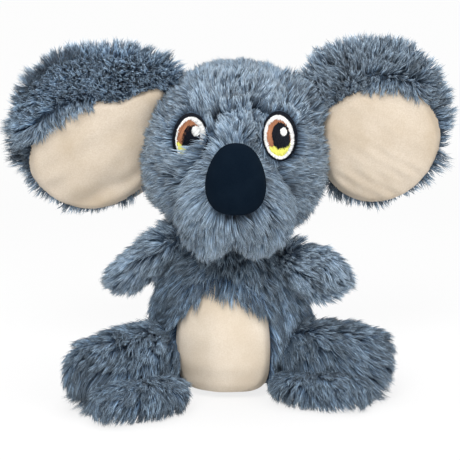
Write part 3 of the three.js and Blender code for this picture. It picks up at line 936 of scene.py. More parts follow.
def add_effect(nodes, links, shader, group, values):
    """Places a node group in a material with its own values. It gives the colour."""
    effect = nodes.new("ShaderNodeGroup")
    effect.node_tree = bpy.data.node_groups[group]
    set_inputs(effect, values)
    links.new(effect.outputs["Colour"], shader.inputs["Base Color"])
    return effect


def strand_material(name, shades, variation, roughness=0.6, sheen=0.0, specular=0.25):
    """Pile or thread, in its shades at the root, the middle and the tip."""
    _, nodes, links, shader = new_material(name, roughness, sheen, 0.45, specular)
    root, middle, tip = map(opaque, shades)
    values = {"Root": root, "Middle": middle, "Tip": tip, "Variation": variation}
    add_effect(nodes, links, shader, "Strand colour", values)


def nap_material(name, base, shade, patch_size, fibre_size, patches, bump, **look):
    """Short plush, backing or stuffing. The sizes are scales of noise, to a metre."""
    _, nodes, links, shader = new_material(name, **look)
    effect = add_effect(nodes, links, shader, "Brushed nap", {
        "Base": opaque(base), "Shade": opaque(shade),
        "Patch size": patch_size, "Fibre size": fibre_size, "Patches": patches,
    })
    relief = nodes.new("ShaderNodeBump")
    set_inputs(relief, {"Strength": bump, "Distance": 0.00012})
    links.new(effect.outputs["Height"], relief.inputs["Height"])
    links.new(relief.outputs[0], shader.inputs["Normal"])


def make_materials():
    c = colours()
    strand_group()
    nap_group()
    shades = (c.pile_deep, c.pile_middle, c.pile_light)
    for name, (variation, tints) in PILES.items():
        tinted = [np.multiply(shade, tint) for shade, tint in zip(shades, tints)]
        strand_material(name, tinted, variation, sheen=0.10)
    for name in ("black", "white", "orange", "yellow"):
        tint = getattr(c, f"thread_{name}")
        dull = [0.72 * v for v in tint]
        strand_material(f"{name}_satin", (dull, tint, dull), 0.7, roughness=0.5, specular=0.12)
    # Painted shade: the backing is coloured dark, between the pile's root and middle shades, so
    # that gaps in the pile read as shade
    between = [(a + b) / 2 for a, b in zip(c.pile_deep, c.pile_middle)]
    nap_material(
        "backing", between, c.pile_deep,
        patch_size=60, fibre_size=900, patches=0.6, bump=0.6, roughness=0.9,
    )
    for name in ("cream", "belly"):
        nap_material(
            f"{name}_plush", getattr(c, name), getattr(c, f"{name}_shade"),
            patch_size=34, fibre_size=1300, patches=0.55, bump=0.6,
            roughness=0.85, sheen=0.25, sheen_roughness=0.4, specular=0.15, tint=(1.0, 0.96, 0.9),
        )
    nap_material(
        "brushed_nose", c.nose, c.nose_light,
        patch_size=90, fibre_size=1600, patches=0.5, bump=0.5,
        roughness=0.9, sheen=0.004, specular=0.03, tint=(0.5, 0.6, 0.8),
    )
    hollow = [0.8 * v for v in c.wadding]
    nap_material(
        "stuffing", c.wadding, hollow,
        patch_size=80, fibre_size=700, patches=0.5, bump=0.8, roughness=0.95,
    )


# The eyes' places, shared by the stitching and by the pile that leaves room for them


def eye_middle(side):
    """The middle of an eye, in the head's own frame."""
    s = sizes()
    # The right eye is stitched a little lower and further out
    out, down = (0.0, 0.0) if side > 0 else (0.0008, 0.0010)
    return Vector((side * (s.eye_spacing / 2 + out), 0, s.eye_rise - down))


def eye_coordinates(side, points):
    """Places across and up an eye, as seen from the front."""
    lean = math.radians(-side * EYE_LEAN)
    middle = head_place() @ eye_middle(side)
    dx, dz = points[:, 0] - middle.x, points[:, 2] - middle.z
    return dx * math.cos(lean) - dz * math.sin(lean), dx * math.sin(lean) + dz * math.cos(lean)


def eye_reach(side, points):
    """Below 1 inside an eye's outline, above 1 outside."""
    s = sizes()
    u, v = eye_coordinates(side, points)
    far = np.hypot(u / (s.eye_width / 2), v / (s.eye_height / 2))
    return np.where(points[:, 1] < 0, far, OUTSIDE)


def beside_eyes(points):
    """1 at the edge of an eye and inside it, fading to 0 a little way off."""
    reach = np.min([eye_reach(side, points) for side in (1, -1)], 0)
    return 1 - smooth_step(EYE_EDGE, 1.32, reach)


def under_tuft(points, more=0.0):
    """Where the tuft roots that hangs over the right eye's lower inner corner: inside the
    eye and below two slanting lines."""
    u, v = eye_coordinates(-1, points)
    flatter, steeper = 0.28 * u - 0.0050, 0.93 * u - 0.0108
    return (v < np.minimum(flatter, steeper) + more) & (eye_reach(-1, points) < 1)


def leave_eyes(at, normals, flow, rise, reach):
    """Pile beside an eye lies flat and points away from it. Only from the lower inner
    side of the right eye does it lie over the stitches."""
    for side in (1, -1):
        far = eye_reach(side, at)
        u, v = eye_coordinates(side, at)
        middle = head_place() @ eye_middle(side)
        away = unit((at - np.array(middle)) * NO_DEPTH)
        near = 1 - smooth_step(EYE_EDGE, 1.5, far)
        if side < 0:
            # The tuft's share of a strand: 1 towards the eye's lower inner side
            inner = (0.66 * u - 0.75 * v) / np.maximum(np.hypot(u, v), 1e-6)
            inner = smooth_step(0.5, 0.76, inner)
            over = (1 - smooth_step(1.35, 2.3, far)) * inner
            ahead, lift = aimed(unit(np.array([side, -0.45, 0.45])), normals, 28)
            flow = flow * (1 - over)[:, None] + 2 * ahead * over[:, None]
            rise = rise * (1 - over) + lift * over
            near, reach = near * (1 - inner), reach * (1 + 0.2 * over)
        flow = flow + away * (1.6 * near)[:, None]
        reach = reach * (1 - 0.42 * near)
        rise = rise * (1 - 0.45 * near)
    return flow, rise, reach


# Operators


class KOALA_OT_stage(bpy.types.Operator):
    """Lay the pale floor, hang the soft lights and set the camera"""

    bl_idname = "koala.stage"
    bl_label = "Floor, lights and camera"

    def execute(self, context):
        scene = context.scene
        scene.view_settings.view_transform = "Standard"
        self.lay_floor()
        self.light(scene)
        self.set_camera(scene)
        return {"FINISHED"}

    def lay_floor(self):
        half = 7.0
        points = np.array([[-half, -half, 0], [half, -half, 0], [half, half, 0], [-half, half, 0]])
        floor = new_piece("floor", points, [np.array([[0, 1, 2, 3]])])
        material, nodes, links, shader = new_material("floor", roughness=0.9, specular=0.1)
        shader.inputs["Base Color"].default_value = opaque(colours().floor)
        white = nodes.new("ShaderNodeEmission")
        white.inputs["Strength"].default_value = 1.0
        place, far = nodes.new("ShaderNodeNewGeometry"), nodes.new("ShaderNodeVectorMath")
        far.operation = "LENGTH"
        links.new(place.outputs["Position"], far.inputs[0])
        # It is whiter further from the toy
        whiter = span(nodes, links, far.outputs["Value"], 0.15, 1.1, 0.80, 0.97)
        self.white_to_camera(nodes, links, shader, white, nodes["Material Output"], whiter)
        floor.data.materials.append(material)

    def white_to_camera(self, nodes, links, lit, white, output, amount=1.0):
        """The camera sees the white, and the object gets the light of what is lit."""
        seen = nodes.new("ShaderNodeLightPath").outputs["Is Camera Ray"]
        blend = nodes.new("ShaderNodeMixShader")
        links.new(calculate(nodes, links, "MULTIPLY", seen, amount), blend.inputs[0])
        links.new(lit.outputs[0], blend.inputs[1])
        links.new(white.outputs[0], blend.inputs[2])
        links.new(blend.outputs[0], output.inputs["Surface"])

    def light(self, scene):
        world = bpy.data.worlds.new("studio")
        world.use_nodes = True
        nodes, links = world.node_tree.nodes, world.node_tree.links
        sky, white = nodes["Background"], nodes.new("ShaderNodeBackground")
        set_inputs(sky, {"Color": (1, 1, 1, 1), "Strength": 0.38})
        white.inputs["Strength"].default_value = 1.0
        self.white_to_camera(nodes, links, sky, white, nodes["World Output"])
        scene.world = world
        for name, (place, width, power) in LAMPS.items():
            lamp = bpy.data.lights.new(name, "AREA")
            lamp.size, lamp.energy = width, power
            holder = bpy.data.objects.new(name, lamp)
            holder.location = place
            aim = Vector((0, 0, 0.1)) - Vector(place)
            holder.rotation_euler = aim.to_track_quat("-Z", "Y").to_euler()
            scene.collection.objects.link(holder)

    def set_camera(self, scene):
        aim, away, elevation, view_width = Vector((0, 0, 0.095)), 0.9, math.radians(12), 0.276
        camera = bpy.data.cameras.new("camera")
        camera.sensor_width = 36
        camera.lens = camera.sensor_width * away / view_width
        camera.clip_start, camera.clip_end = 0.01, 50
        holder = bpy.data.objects.new("camera", camera)
        holder.location = aim + away * Vector((0, -math.cos(elevation), math.sin(elevation)))
        holder.rotation_euler = (math.pi / 2 - elevation, 0, 0)
        scene.collection.objects.link(holder)
        scene.camera = holder


class KOALA_OT_head(bpy.types.Operator):
    """Stuff the head and muzzle, and grow their pile"""

    bl_idname = "koala.head"
    bl_label = "Head and muzzle"

    # The arc sewn above the bridge: its middle from the head's own, and its radius
    crease_middle = (0.0040, 0, 0.0112)
    crease_radius = 0.017

    def execute(self, context):
        head, muzzle, nose, torso = head_form(), muzzle_form(), nose_form(), torso_form()
        rng = chance(1)
        add_backing("head_backing", "head", head, "head_skin", raise_by=beside_eyes)
        add_backing("muzzle_backing", "head", muzzle, "muzzle_skin")
        add_wadding("head_wadding", "head", [head, muzzle], "head_filling")
        self.grow_head(rng, head, muzzle, torso)
        self.grow_muzzle(rng, head, muzzle, nose)
        return {"FINISHED"}

    def whorl(self):
        """The pile parts from behind the nose."""
        s = sizes()
        behind_nose = Vector((0, -s.muzzle_reach + 0.02, s.nose_rise - s.muzzle_drop))
        return np.array(head_place() @ behind_nose)

    def crease(self, points):
        """How far inside the arc sewn above the bridge a place is, and its share there."""
        middle = head_place() @ Vector(self.crease_middle)
        across, up = points[:, 0] - middle.x, points[:, 2] - middle.z
        far = np.maximum(np.hypot(across, up), 1e-6)
        inside = self.crease_radius - far
        return inside, smooth_step(0.42, 0.6, up / far) * (points[:, 1] < 0)

    def on_crease(self, points, half_width):
        """Where the crease is bare of pile."""
        inside, arc = self.crease(points)
        return (np.abs(inside) < half_width) & (arc > 0.5)

    def grow_head(self, rng, head, muzzle, torso):
        long, backing = pile().pile_length, pile().backing_depth
        roots, normals = scatter(rng, head)
        at = roots + normals * backing
        bare = muzzle.holds(roots, -0.002) | torso.holds(roots, -SEAM_DEPTH)
        bare |= self.on_crease(roots, 0.0010)
        bare |= (np.min([eye_reach(side, at) for side in (1, -1)], 0) < 0.985) & ~under_tuft(at)
        roots, normals, at = kept(~bare, roots, normals, at)
        # The pile runs outwards from the whorl, and down at the back
        outward = unit(roots - self.whorl())
        behind = smooth_step(-0.005, 0.03, roots[:, 1])[:, None]
        flow = laid(outward * (1 - behind) + np.array([0, 0.8, -1.0]) * behind, normals)
        parting = 4 * (behind * (1 - behind))[:, 0] * smooth_step(0.2, 0.7, normals[:, 2])
        seam = smooth_step(1.22, 1.04, muzzle.reach(roots)) * (roots[:, 1] < 0)
        # Just above the crease the pile is painted dark, as shade in the crease, and further up it
        # stands
        inside, arc = self.crease(roots)
        near = arc * smooth_step(-0.0022, -0.0012, inside) * (inside < 0)
        above = arc * smooth_step(-0.010, -0.001, inside) * (inside < 0)
        # A fuller tuft stands at the head's upper left corner
        from_middle = unit(roots - np.array(head_place().translation))
        corner = smooth_step(0.90, 0.99, from_middle @ unit(np.array([0.80, -0.1, 0.62])))
        rise = 32 - 8 * seam + 30 * above + 30 * corner + 22 * parting
        reach = long * (1 - 0.18 * seam * (1 - near)) * (1 + 0.4 * corner - 0.15 * parting)
        reach, rise = self.stop_at_crease(roots, reach, rise)
        flow, rise, reach = leave_eyes(at, normals, flow, rise, reach)
        roots = roots + normals * (beside_eyes(at) * (backing - 0.0003))[:, None]
        crown = smooth_step(0.145, 0.175, roots[:, 2])
        # Painted shade darkens the pile beside the muzzle's seam and just above the crease; the
        # pile is also a little darker towards the crown
        tone = -(0.01 + 0.05 * crown + 0.1 * seam + 0.6 * near)
        grow_pile(rng, "head_pile", "head", roots, normals, flow, rise, reach, tone)

    def stop_at_crease(self, roots, reach, rise):
        """Pile below the crease ends there."""
        inside, arc = self.crease(roots)
        near = arc * smooth_step(0.013, 0.008, inside) * (inside > 0)
        short = np.minimum(reach, 0.8 * np.maximum(inside, 0) + 0.0040)
        upright = 6 * near * smooth_step(0.006, 0.0, inside)
        return reach * (1 - near) + short * near, rise + upright

    def grow_muzzle(self, rng, head, muzzle, nose):
        roots, normals = scatter(rng, muzzle)
        across, up = roots[:, 0] - sizes().head_shift, roots[:, 2]
        notch = np.exp(-((across / 0.0030) ** 2)) * smooth_step(0.107, 0.096, up)
        notch = notch * (roots[:, 1] < -0.02)
        bare = head.holds(roots, -0.004) | nose.holds(roots, 0.0005)
        bare |= self.on_crease(roots, 0.0004)
        bare |= eye_reach(1, roots) < 0.95
        bare |= (eye_reach(-1, roots) < 0.95) & ~under_tuft(roots, 0.003)
        roots, normals, across, notch = kept(~bare, roots, normals, across, notch)
        # The pile runs outwards from the whorl, and lower down to each jowl's own side
        outward = unit((roots - self.whorl()) * np.array([1, 0.6, 1]))
        low = smooth_step(0.0, 0.03, self.whorl()[2] - roots[:, 2])
        lobe = np.sign(across) * low * smooth_step(0.008, 0.001, np.abs(across))
        flow = outward + 0.6 * low[:, None] * DOWN
        flow = flow + lobe[:, None] * np.array([0.4, 0, 0])
        seam = smooth_step(1.12, 0.98, head.reach(roots))
        top = smooth_step(0.15, 0.6, normals[:, 2]) * smooth_step(0.160, 0.170, roots[:, 2])
        beside_nose = smooth_step(1.5, 1.05, nose.reach(roots))
        jowl = low * smooth_step(0.010, 0.026, np.abs(across))
        flow = flow + (0.45 * jowl * np.sign(across))[:, None] * np.array([1.0, 0, 0])
        rise = 30 - 6 * seam - 8 * beside_nose - 14 * top + 18 * jowl
        reach = pile().pile_length * (0.84 + 0.04 * low - 0.6 * top - 0.5 * notch + 0.24 * jowl)
        reach, rise = self.stop_at_crease(roots, reach, rise)
        flow, rise, reach = leave_eyes(roots, normals, flow, rise, reach)
        # Painted shade darkens the pile beside the seam with the head, on the ledge at the
        # muzzle's top and in the notch between the jowls
        tone = 0.04 - 0.08 * seam - 0.5 * top - 0.8 * notch
        grow_pile(rng, "muzzle_pile", "head", roots, normals, flow, rise, reach, tone)


class KOALA_OT_nose(bpy.types.Operator):
    """Sew the padded nose"""

    bl_idname = "koala.nose"
    bl_label = "Nose"

    def execute(self, context):
        form = nose_form()
        points, quads = form.surface(0, 96, 72)
        centre = form.place[:3, 3] + np.array([0, -sizes().muzzle_reach, -0.006])
        points = lumpy(points, centre, 0.0002)
        add_piece(
            "nose_cover_piece", points, [quads], "brushed_nose", "head", node="nose_cover"
        )
        points, quads = form.surface(-0.003, *WADDING_GRID)
        add_piece(
            "nose_wadding", points, [quads], "stuffing", "head", node="nose_filling"
        )
        return {"FINISHED"}


class KOALA_OT_eyes(bpy.types.Operator):
    """Embroider both eyes, one field of thread for each colour"""

    bl_idname = "koala.eyes"
    bl_label = "Stitched eyes"

    thread_radius = 0.00031
    spacing = 0.00046
    # Where a stitch has its rings, from end to end
    shares = np.array([0.0, 0.22, 0.5, 0.78, 1.0])

    def execute(self, context):
        for name, side in (("left", 1), ("right", -1)):
            self.prefix, self.side = name, side
            self.rng = chance(20 + side)
            self.head = head_form()
            self.embroider()
        return {"FINISHED"}

    def laid_on_head(self, u, v, lift):
        """Places in the eye's own plane, laid on the head's skin."""
        middle, lean = eye_middle(self.side), math.radians(-self.side * EYE_LEAN)
        x = middle.x + u * math.cos(lean) + v * math.sin(lean)
        z = middle.z - u * math.sin(lean) + v * math.cos(lean)
        y = self.head.front(x, z, 0.0004) - lift
        return self.head.to_world(np.stack([x, y, z], -1).reshape(-1, 3)).reshape(*x.shape, 3)

    def stitch(self, field, thread, start, end, level, crown):
        """Threads from start to end points in the eye's plane, side by side. They lie at
        a level over the skin and rise to a crown along their middle."""
        count, rings, sides = len(start), len(self.shares), 5
        line = start[:, None] + (end - start)[:, None] * self.shares[None, :, None]
        lift = level + crown * np.sin(math.pi * self.shares) ** 0.6
        lift = np.repeat(lift[None], count, 0) + self.rng.normal(0, 0.00003, (count, 1))
        p = self.laid_on_head(line[..., 0], line[..., 1], lift)
        along = unit(np.gradient(p, axis=1))
        across = unit(np.cross(along, np.array([0.0, -1.0, 0.0])))
        out = np.cross(across, along)
        radius = self.thread_radius * self.rng.uniform(0.85, 1.1, (count, 1, 1))
        angles = np.linspace(0, 2 * math.pi, sides + 1)[:sides]
        tube = [p + radius * (math.cos(a) * across + math.sin(a) * out) for a in angles]
        points = np.stack(tube, 2).reshape(-1, 3)
        quads = np.arange(count)[:, None, None] * rings * sides + tube_quads(sides, rings - 1)
        tone = np.clip(0.5 + self.rng.normal(0, 0.16, count), 0.05, 0.95)
        u = tone[:, None, None] + np.array([-0.02, -0.01, 0.0, 0.01, 0.02])[None, None]
        v = np.repeat((0.05 + 0.9 * self.shares)[None, :, None], count, 0)
        uv = np.stack(np.broadcast_arrays(u, v), -1).reshape(-1, 2)
        node = f"{self.prefix}_eye_{field}"
        quads = quads.reshape(-1, 4)
        add_piece(f"{node}_stitches", points, [quads], f"{thread}_satin", "head", node=node, uv=uv)

    def oval(self, size, rays):
        """Points of an oval, given by its width, height and middle, along rays."""
        width, height, u, v = size
        return rays * np.array([width, height]) / 2 + np.array([u, v])

    def around(self, field, thread, count, inner, outer, ragged):
        """Stitches that run outwards all round, between two ovals."""
        rays = circle(count)
        near = self.rng.uniform(-ragged, 0.2 * ragged, (count, 1))
        far = self.rng.uniform(-0.2 * ragged, 0.3 * ragged, (count, 1))
        start, end = self.oval(inner, rays) + rays * near, self.oval(outer, rays) + rays * far
        self.stitch(field, thread, start, end, 0.0, 0.0005)

    def across(self, field, thread, size, slant, ragged, level, keep):
        """Stitches that run straight across an oval, side by side, where keep says."""
        width, height, u, v = size
        slant, middle = math.radians(slant), np.array([u, v])
        way = np.array([math.cos(slant), math.sin(slant)])
        side = np.array([-way[1], way[0]])
        half = math.hypot(side[0] * width, side[1] * height) / 2
        start, end = [], []
        for off in np.arange(-half + self.spacing / 2, half, self.spacing):
            line = np.linspace(-width - height, width + height, 1200)[:, None] * way + off * side
            inside = np.hypot(line[:, 0] / (width / 2), line[:, 1] / (height / 2)) < 1
            inside &= keep(line + middle)
            if inside.sum() > 3:
                start.append(line[inside][0] + way * self.rng.uniform(-ragged, ragged))
                end.append(line[inside][-1] + way * self.rng.uniform(-ragged, ragged))
        start, end = np.array(start) + middle, np.array(end) + middle
        self.stitch(field, thread, start, end, level, 0.0004)

    def embroider(self):
        s, side = sizes(), self.side
        outline = (s.eye_width, s.eye_height, 0, 0)
        # The outline is thicker on the outer side, so what is inside it sits inwards
        ring = (s.eye_width - 0.0027, s.eye_height - 0.0029, -side * 0.0006, -0.0004)
        over_ring = (ring[0] + 0.0004, ring[1] + 0.0004, ring[2], ring[3])
        iris = (0.0134, 0.0212, -0.0008, -0.0006)
        pupil = (0.0104, 0.0156, 0.0006, -0.0003)
        glint_size = (0.0042 - side * 0.0004, 0.0051 - side * 0.0005)
        glint = (*glint_size, 0.0025, 0.0034 - side * 0.0013)
        self.around("outline", "black", 150, ring, outline, 0.0004)
        self.around("white", "white", 120, iris, over_ring, 0.0008)

        def rim(points):
            return 0.22 * np.abs(points[:, 0] + 0.0008)

        def above(points):
            return points[:, 1] > -0.0062 + rim(points)

        def below(points):
            return points[:, 1] < -0.0054 + rim(points)

        def whole(points):
            return np.full(len(points), True)

        # Field, thread, oval, slant in degrees, raggedness, level over the skin and where
        for row in (
            ("iris", "orange", iris, 74, 0.0004, 0.0, above),
            ("glow", "yellow", iris, 96, 0.0006, 0.0001, below),
            ("pupil", "black", pupil, 64, 0.0005, 0.00035, whole),
            ("glint", "white", glint, 58, 0.0002, 0.0007, whole),
        ):
            self.across(*row)


class KOALA_OT_ears(bpy.types.Operator):
    """Stuff both ears, sew in their linings and grow their pile"""

    bl_idname = "koala.ears"
    bl_label = "Ears"

    # How deep the wadding lies inside an ear
    wadding_depth = 0.0075

    def execute(self, context):
        for k, (name, pose) in enumerate(EARS.items()):
            self.pose, self.side = pose, pose["side"]
            self.form = ear_form(pose)
            self.rng = chance(40 + k)
            root = head_place() @ Vector(
                (self.side * sizes().head_width / 2, sizes().ear_set_back, pose["rise"])
            )
            way = Vector((self.side, 0, 0))
            self.bend = bend_at("head", root, way, 0.004, 0.016)
            self.tilt = math.radians(-self.side * pose["tilt"])
            self.build(f"{name}_ear")
        return {"FINISHED"}

    def outline(self):
        """The lining's seam line in the ear's own frame, X and Z."""
        pose, tilt, oval = self.pose, self.tilt, circle(120)
        half = np.array([pose["width"], pose["height"]]) / 2
        u, v = (oval * self.corner(oval)[:, None] * half).T
        x = u * math.cos(tilt) - v * math.sin(tilt) - self.side * pose["inset"]
        z = u * math.sin(tilt) + v * math.cos(tilt) - pose["drop"]
        return np.stack([x, z], -1)

    def corner(self, oval):
        """The lining runs on under the head's pile at its upper inner corner."""
        off = np.arctan2(oval[:, 1], -self.side * oval[:, 0]) - math.radians(33)
        return 1 + self.pose["corner"] * np.exp(-((off / 0.24) ** 2))

    def lining_reach(self, local):
        """Below 1 inside the lining's seam line, above 1 outside."""
        pose, tilt = self.pose, self.tilt
        x, z = local[:, 0] + self.side * pose["inset"], local[:, 2] + pose["drop"]
        u, v = x * math.cos(tilt) + z * math.sin(tilt), z * math.cos(tilt) - x * math.sin(tilt)
        oval = np.stack([u, v], -1) / (np.array([pose["width"], pose["height"]]) / 2)
        far = np.linalg.norm(oval, axis=1) / self.corner(oval)
        return np.where(local[:, 1] < 0, far, OUTSIDE)

    def build(self, body):
        form, bend = self.form, self.bend

        def outside_lining(points):
            return self.lining_reach(form.to_local(points)) > 0.93

        add_backing(f"{body}_backing", body, form, f"{body}_skin", outside_lining, bend=bend)
        points, quads = form.surface(-self.wadding_depth, 64, 48)
        add_piece(
            f"{body}_wadding", points, [quads], "stuffing", body, bend, f"{body}_filling"
        )
        points, faces = smooth_panel(form, self.outline(), -0.0012, self.settle)
        add_piece(
            f"{body}_lining_piece", points, faces, "cream_plush", body, bend, f"{body}_lining",
        )
        self.grow(body)

    def settle(self, y, at, share):
        """The lining is puffed, turned in at its seam and wrinkled."""
        puff = 0.0010 * (1 - share**2) - 0.0034 * smooth_step(0.88, 1.0, share)
        low = 0.4 + smooth_step(-0.005, -0.035, at[:, 2])
        slant = [at[:, 0] * 0.5 + self.side * at[:, 2] * 0.9, at[:, 1], at[:, 2] * 0.25]
        slant = np.stack(slant, -1)
        depth = 0.00062 - 0.00018 * self.side
        folds = ripple(slant, 0.017, 31 + self.side) * depth * low
        folds += ripple(slant + 0.3 * at, 0.0085, 71 + self.side) * 0.00026 * low
        folds += ripple(at, 0.012, 61 + self.side) * 0.00026
        return y - puff - folds * (1 - smooth_step(0.93, 1.0, share))

    def grow(self, body):
        roots, normals = scatter(self.rng, self.form, share=1.15)
        local = self.form.to_local(roots)
        far = self.lining_reach(local)
        bare = (far < 0.97) | head_form().holds(roots, -SEAM_DEPTH)
        roots, normals, local, far = kept(~bare, roots, normals, local, far)
        side, right = self.side, self.side < 0
        x, y, z = local.T

        # Where on the ear a strand stands, each from 0 to 1: its front or back, low, high or at
        # the foot, the right ear's outer half and its fold, the lining's edge, the line of painted
        # shadow under the lining, the fringe over it and the band of curlier pile above
        front = smooth_step(0.003, -0.003, y)
        behind = 1 - front
        back = smooth_step(0.001, 0.010, y)[:, None]
        low = smooth_step(0.0, -0.015, z)
        high = smooth_step(-0.012, 0.02, z)
        foot = smooth_step(-0.026, -0.044, z)
        outer = smooth_step(-0.004, 0.004, side * x) * right
        fold = np.exp(-(((y + 0.001) / 0.0017) ** 2)) * smooth_step(0.015, 0.03, z) * outer
        edge = front * smooth_step(1.22, 1.0, far)
        line = front * low * smooth_step(1.14, 1.04, far)
        if right:
            fringe = edge * high * smooth_step(-0.018, 0.002, -x)
        else:
            fringe = 0.7 * edge * high * smooth_step(-0.012, 0.0, x) * smooth_step(0.034, 0.020, x)
        band = front * high * (1 - fringe)
        curly = band if right else 0.35 * band

        # The pile runs outwards in front, and outwards and down at the back. The fringe
        # hangs over the lining
        spin = self.form.place[:3, :3]
        flat = local * NO_DEPTH
        radial = unit(flat + np.array([side * 0.006, 0, 0.008])) @ spin.T
        from_root = unit(flat + np.array([side * 0.034, 0, 0])) @ spin.T
        flow = radial * (1 - back) + (from_root + 0.5 * DOWN) * back
        inwards = side * spin[:, 0] * -0.25
        hanging = DOWN - 0.5 * radial + inwards
        flow = laid(flow, normals) * (1 - fringe)[:, None] + hanging * fringe[:, None]
        rim = smooth_step(0.35, 0.8, (normals * radial).sum(-1)) * (1 - fringe)
        turned = rim * front * (1 - low) * outer
        way = unit(radial + 0.3 * smooth_step(-0.004, 0.008, y)[:, None] * spin[:, 1])
        stands = np.minimum(aimed(way, normals)[1], 72 - 22 * low)
        rise = np.maximum(36 + 34 * curly + 8 * fringe, rim * stands)
        uneven = 1 + 0.2 * ripple(roots, 0.02, 47) * low
        reach = pile().pile_length * (1.04 - 0.40 * curly - 0.1 * fringe + 0.06 * rim * behind)
        reach = reach * uneven * (1 - 0.5 * edge * (high - fringe)) * (1 - 0.5 * foot)
        reach = reach * (1 - 0.8 * line) * (1 - 0.5 * turned) * (1 - 0.75 * fold)
        # Painted shade darkens the pile along the line under the lining and in the right ear's
        # fold. The pile is also darker in the band, the fringe and low down, and a little lighter
        # on the turned rim
        deep = 0.12 if right else 0.24
        tone = 0.04 * behind - deep * band - 0.10 * fringe - 0.8 * line - 0.15 * low
        tone = tone - 0.7 * fold + 0.05 * turned
        for part, mask, curl, tufts in (
            ("pile", curly <= 0.5, 0.3, (50, 5)),
            ("band_pile", curly > 0.5, 0.4, (40, 5)),
        ):
            if mask.any():
                grow_pile(
                    self.rng, f"{body}_{part}", body,
                    *kept(mask, roots, normals, flow, rise, reach, tone),
                    "pile" if part == "pile" else "ear_band_pile", self.bend,
                    pinch=0.3, curl=curl, tufts=tufts,
                )


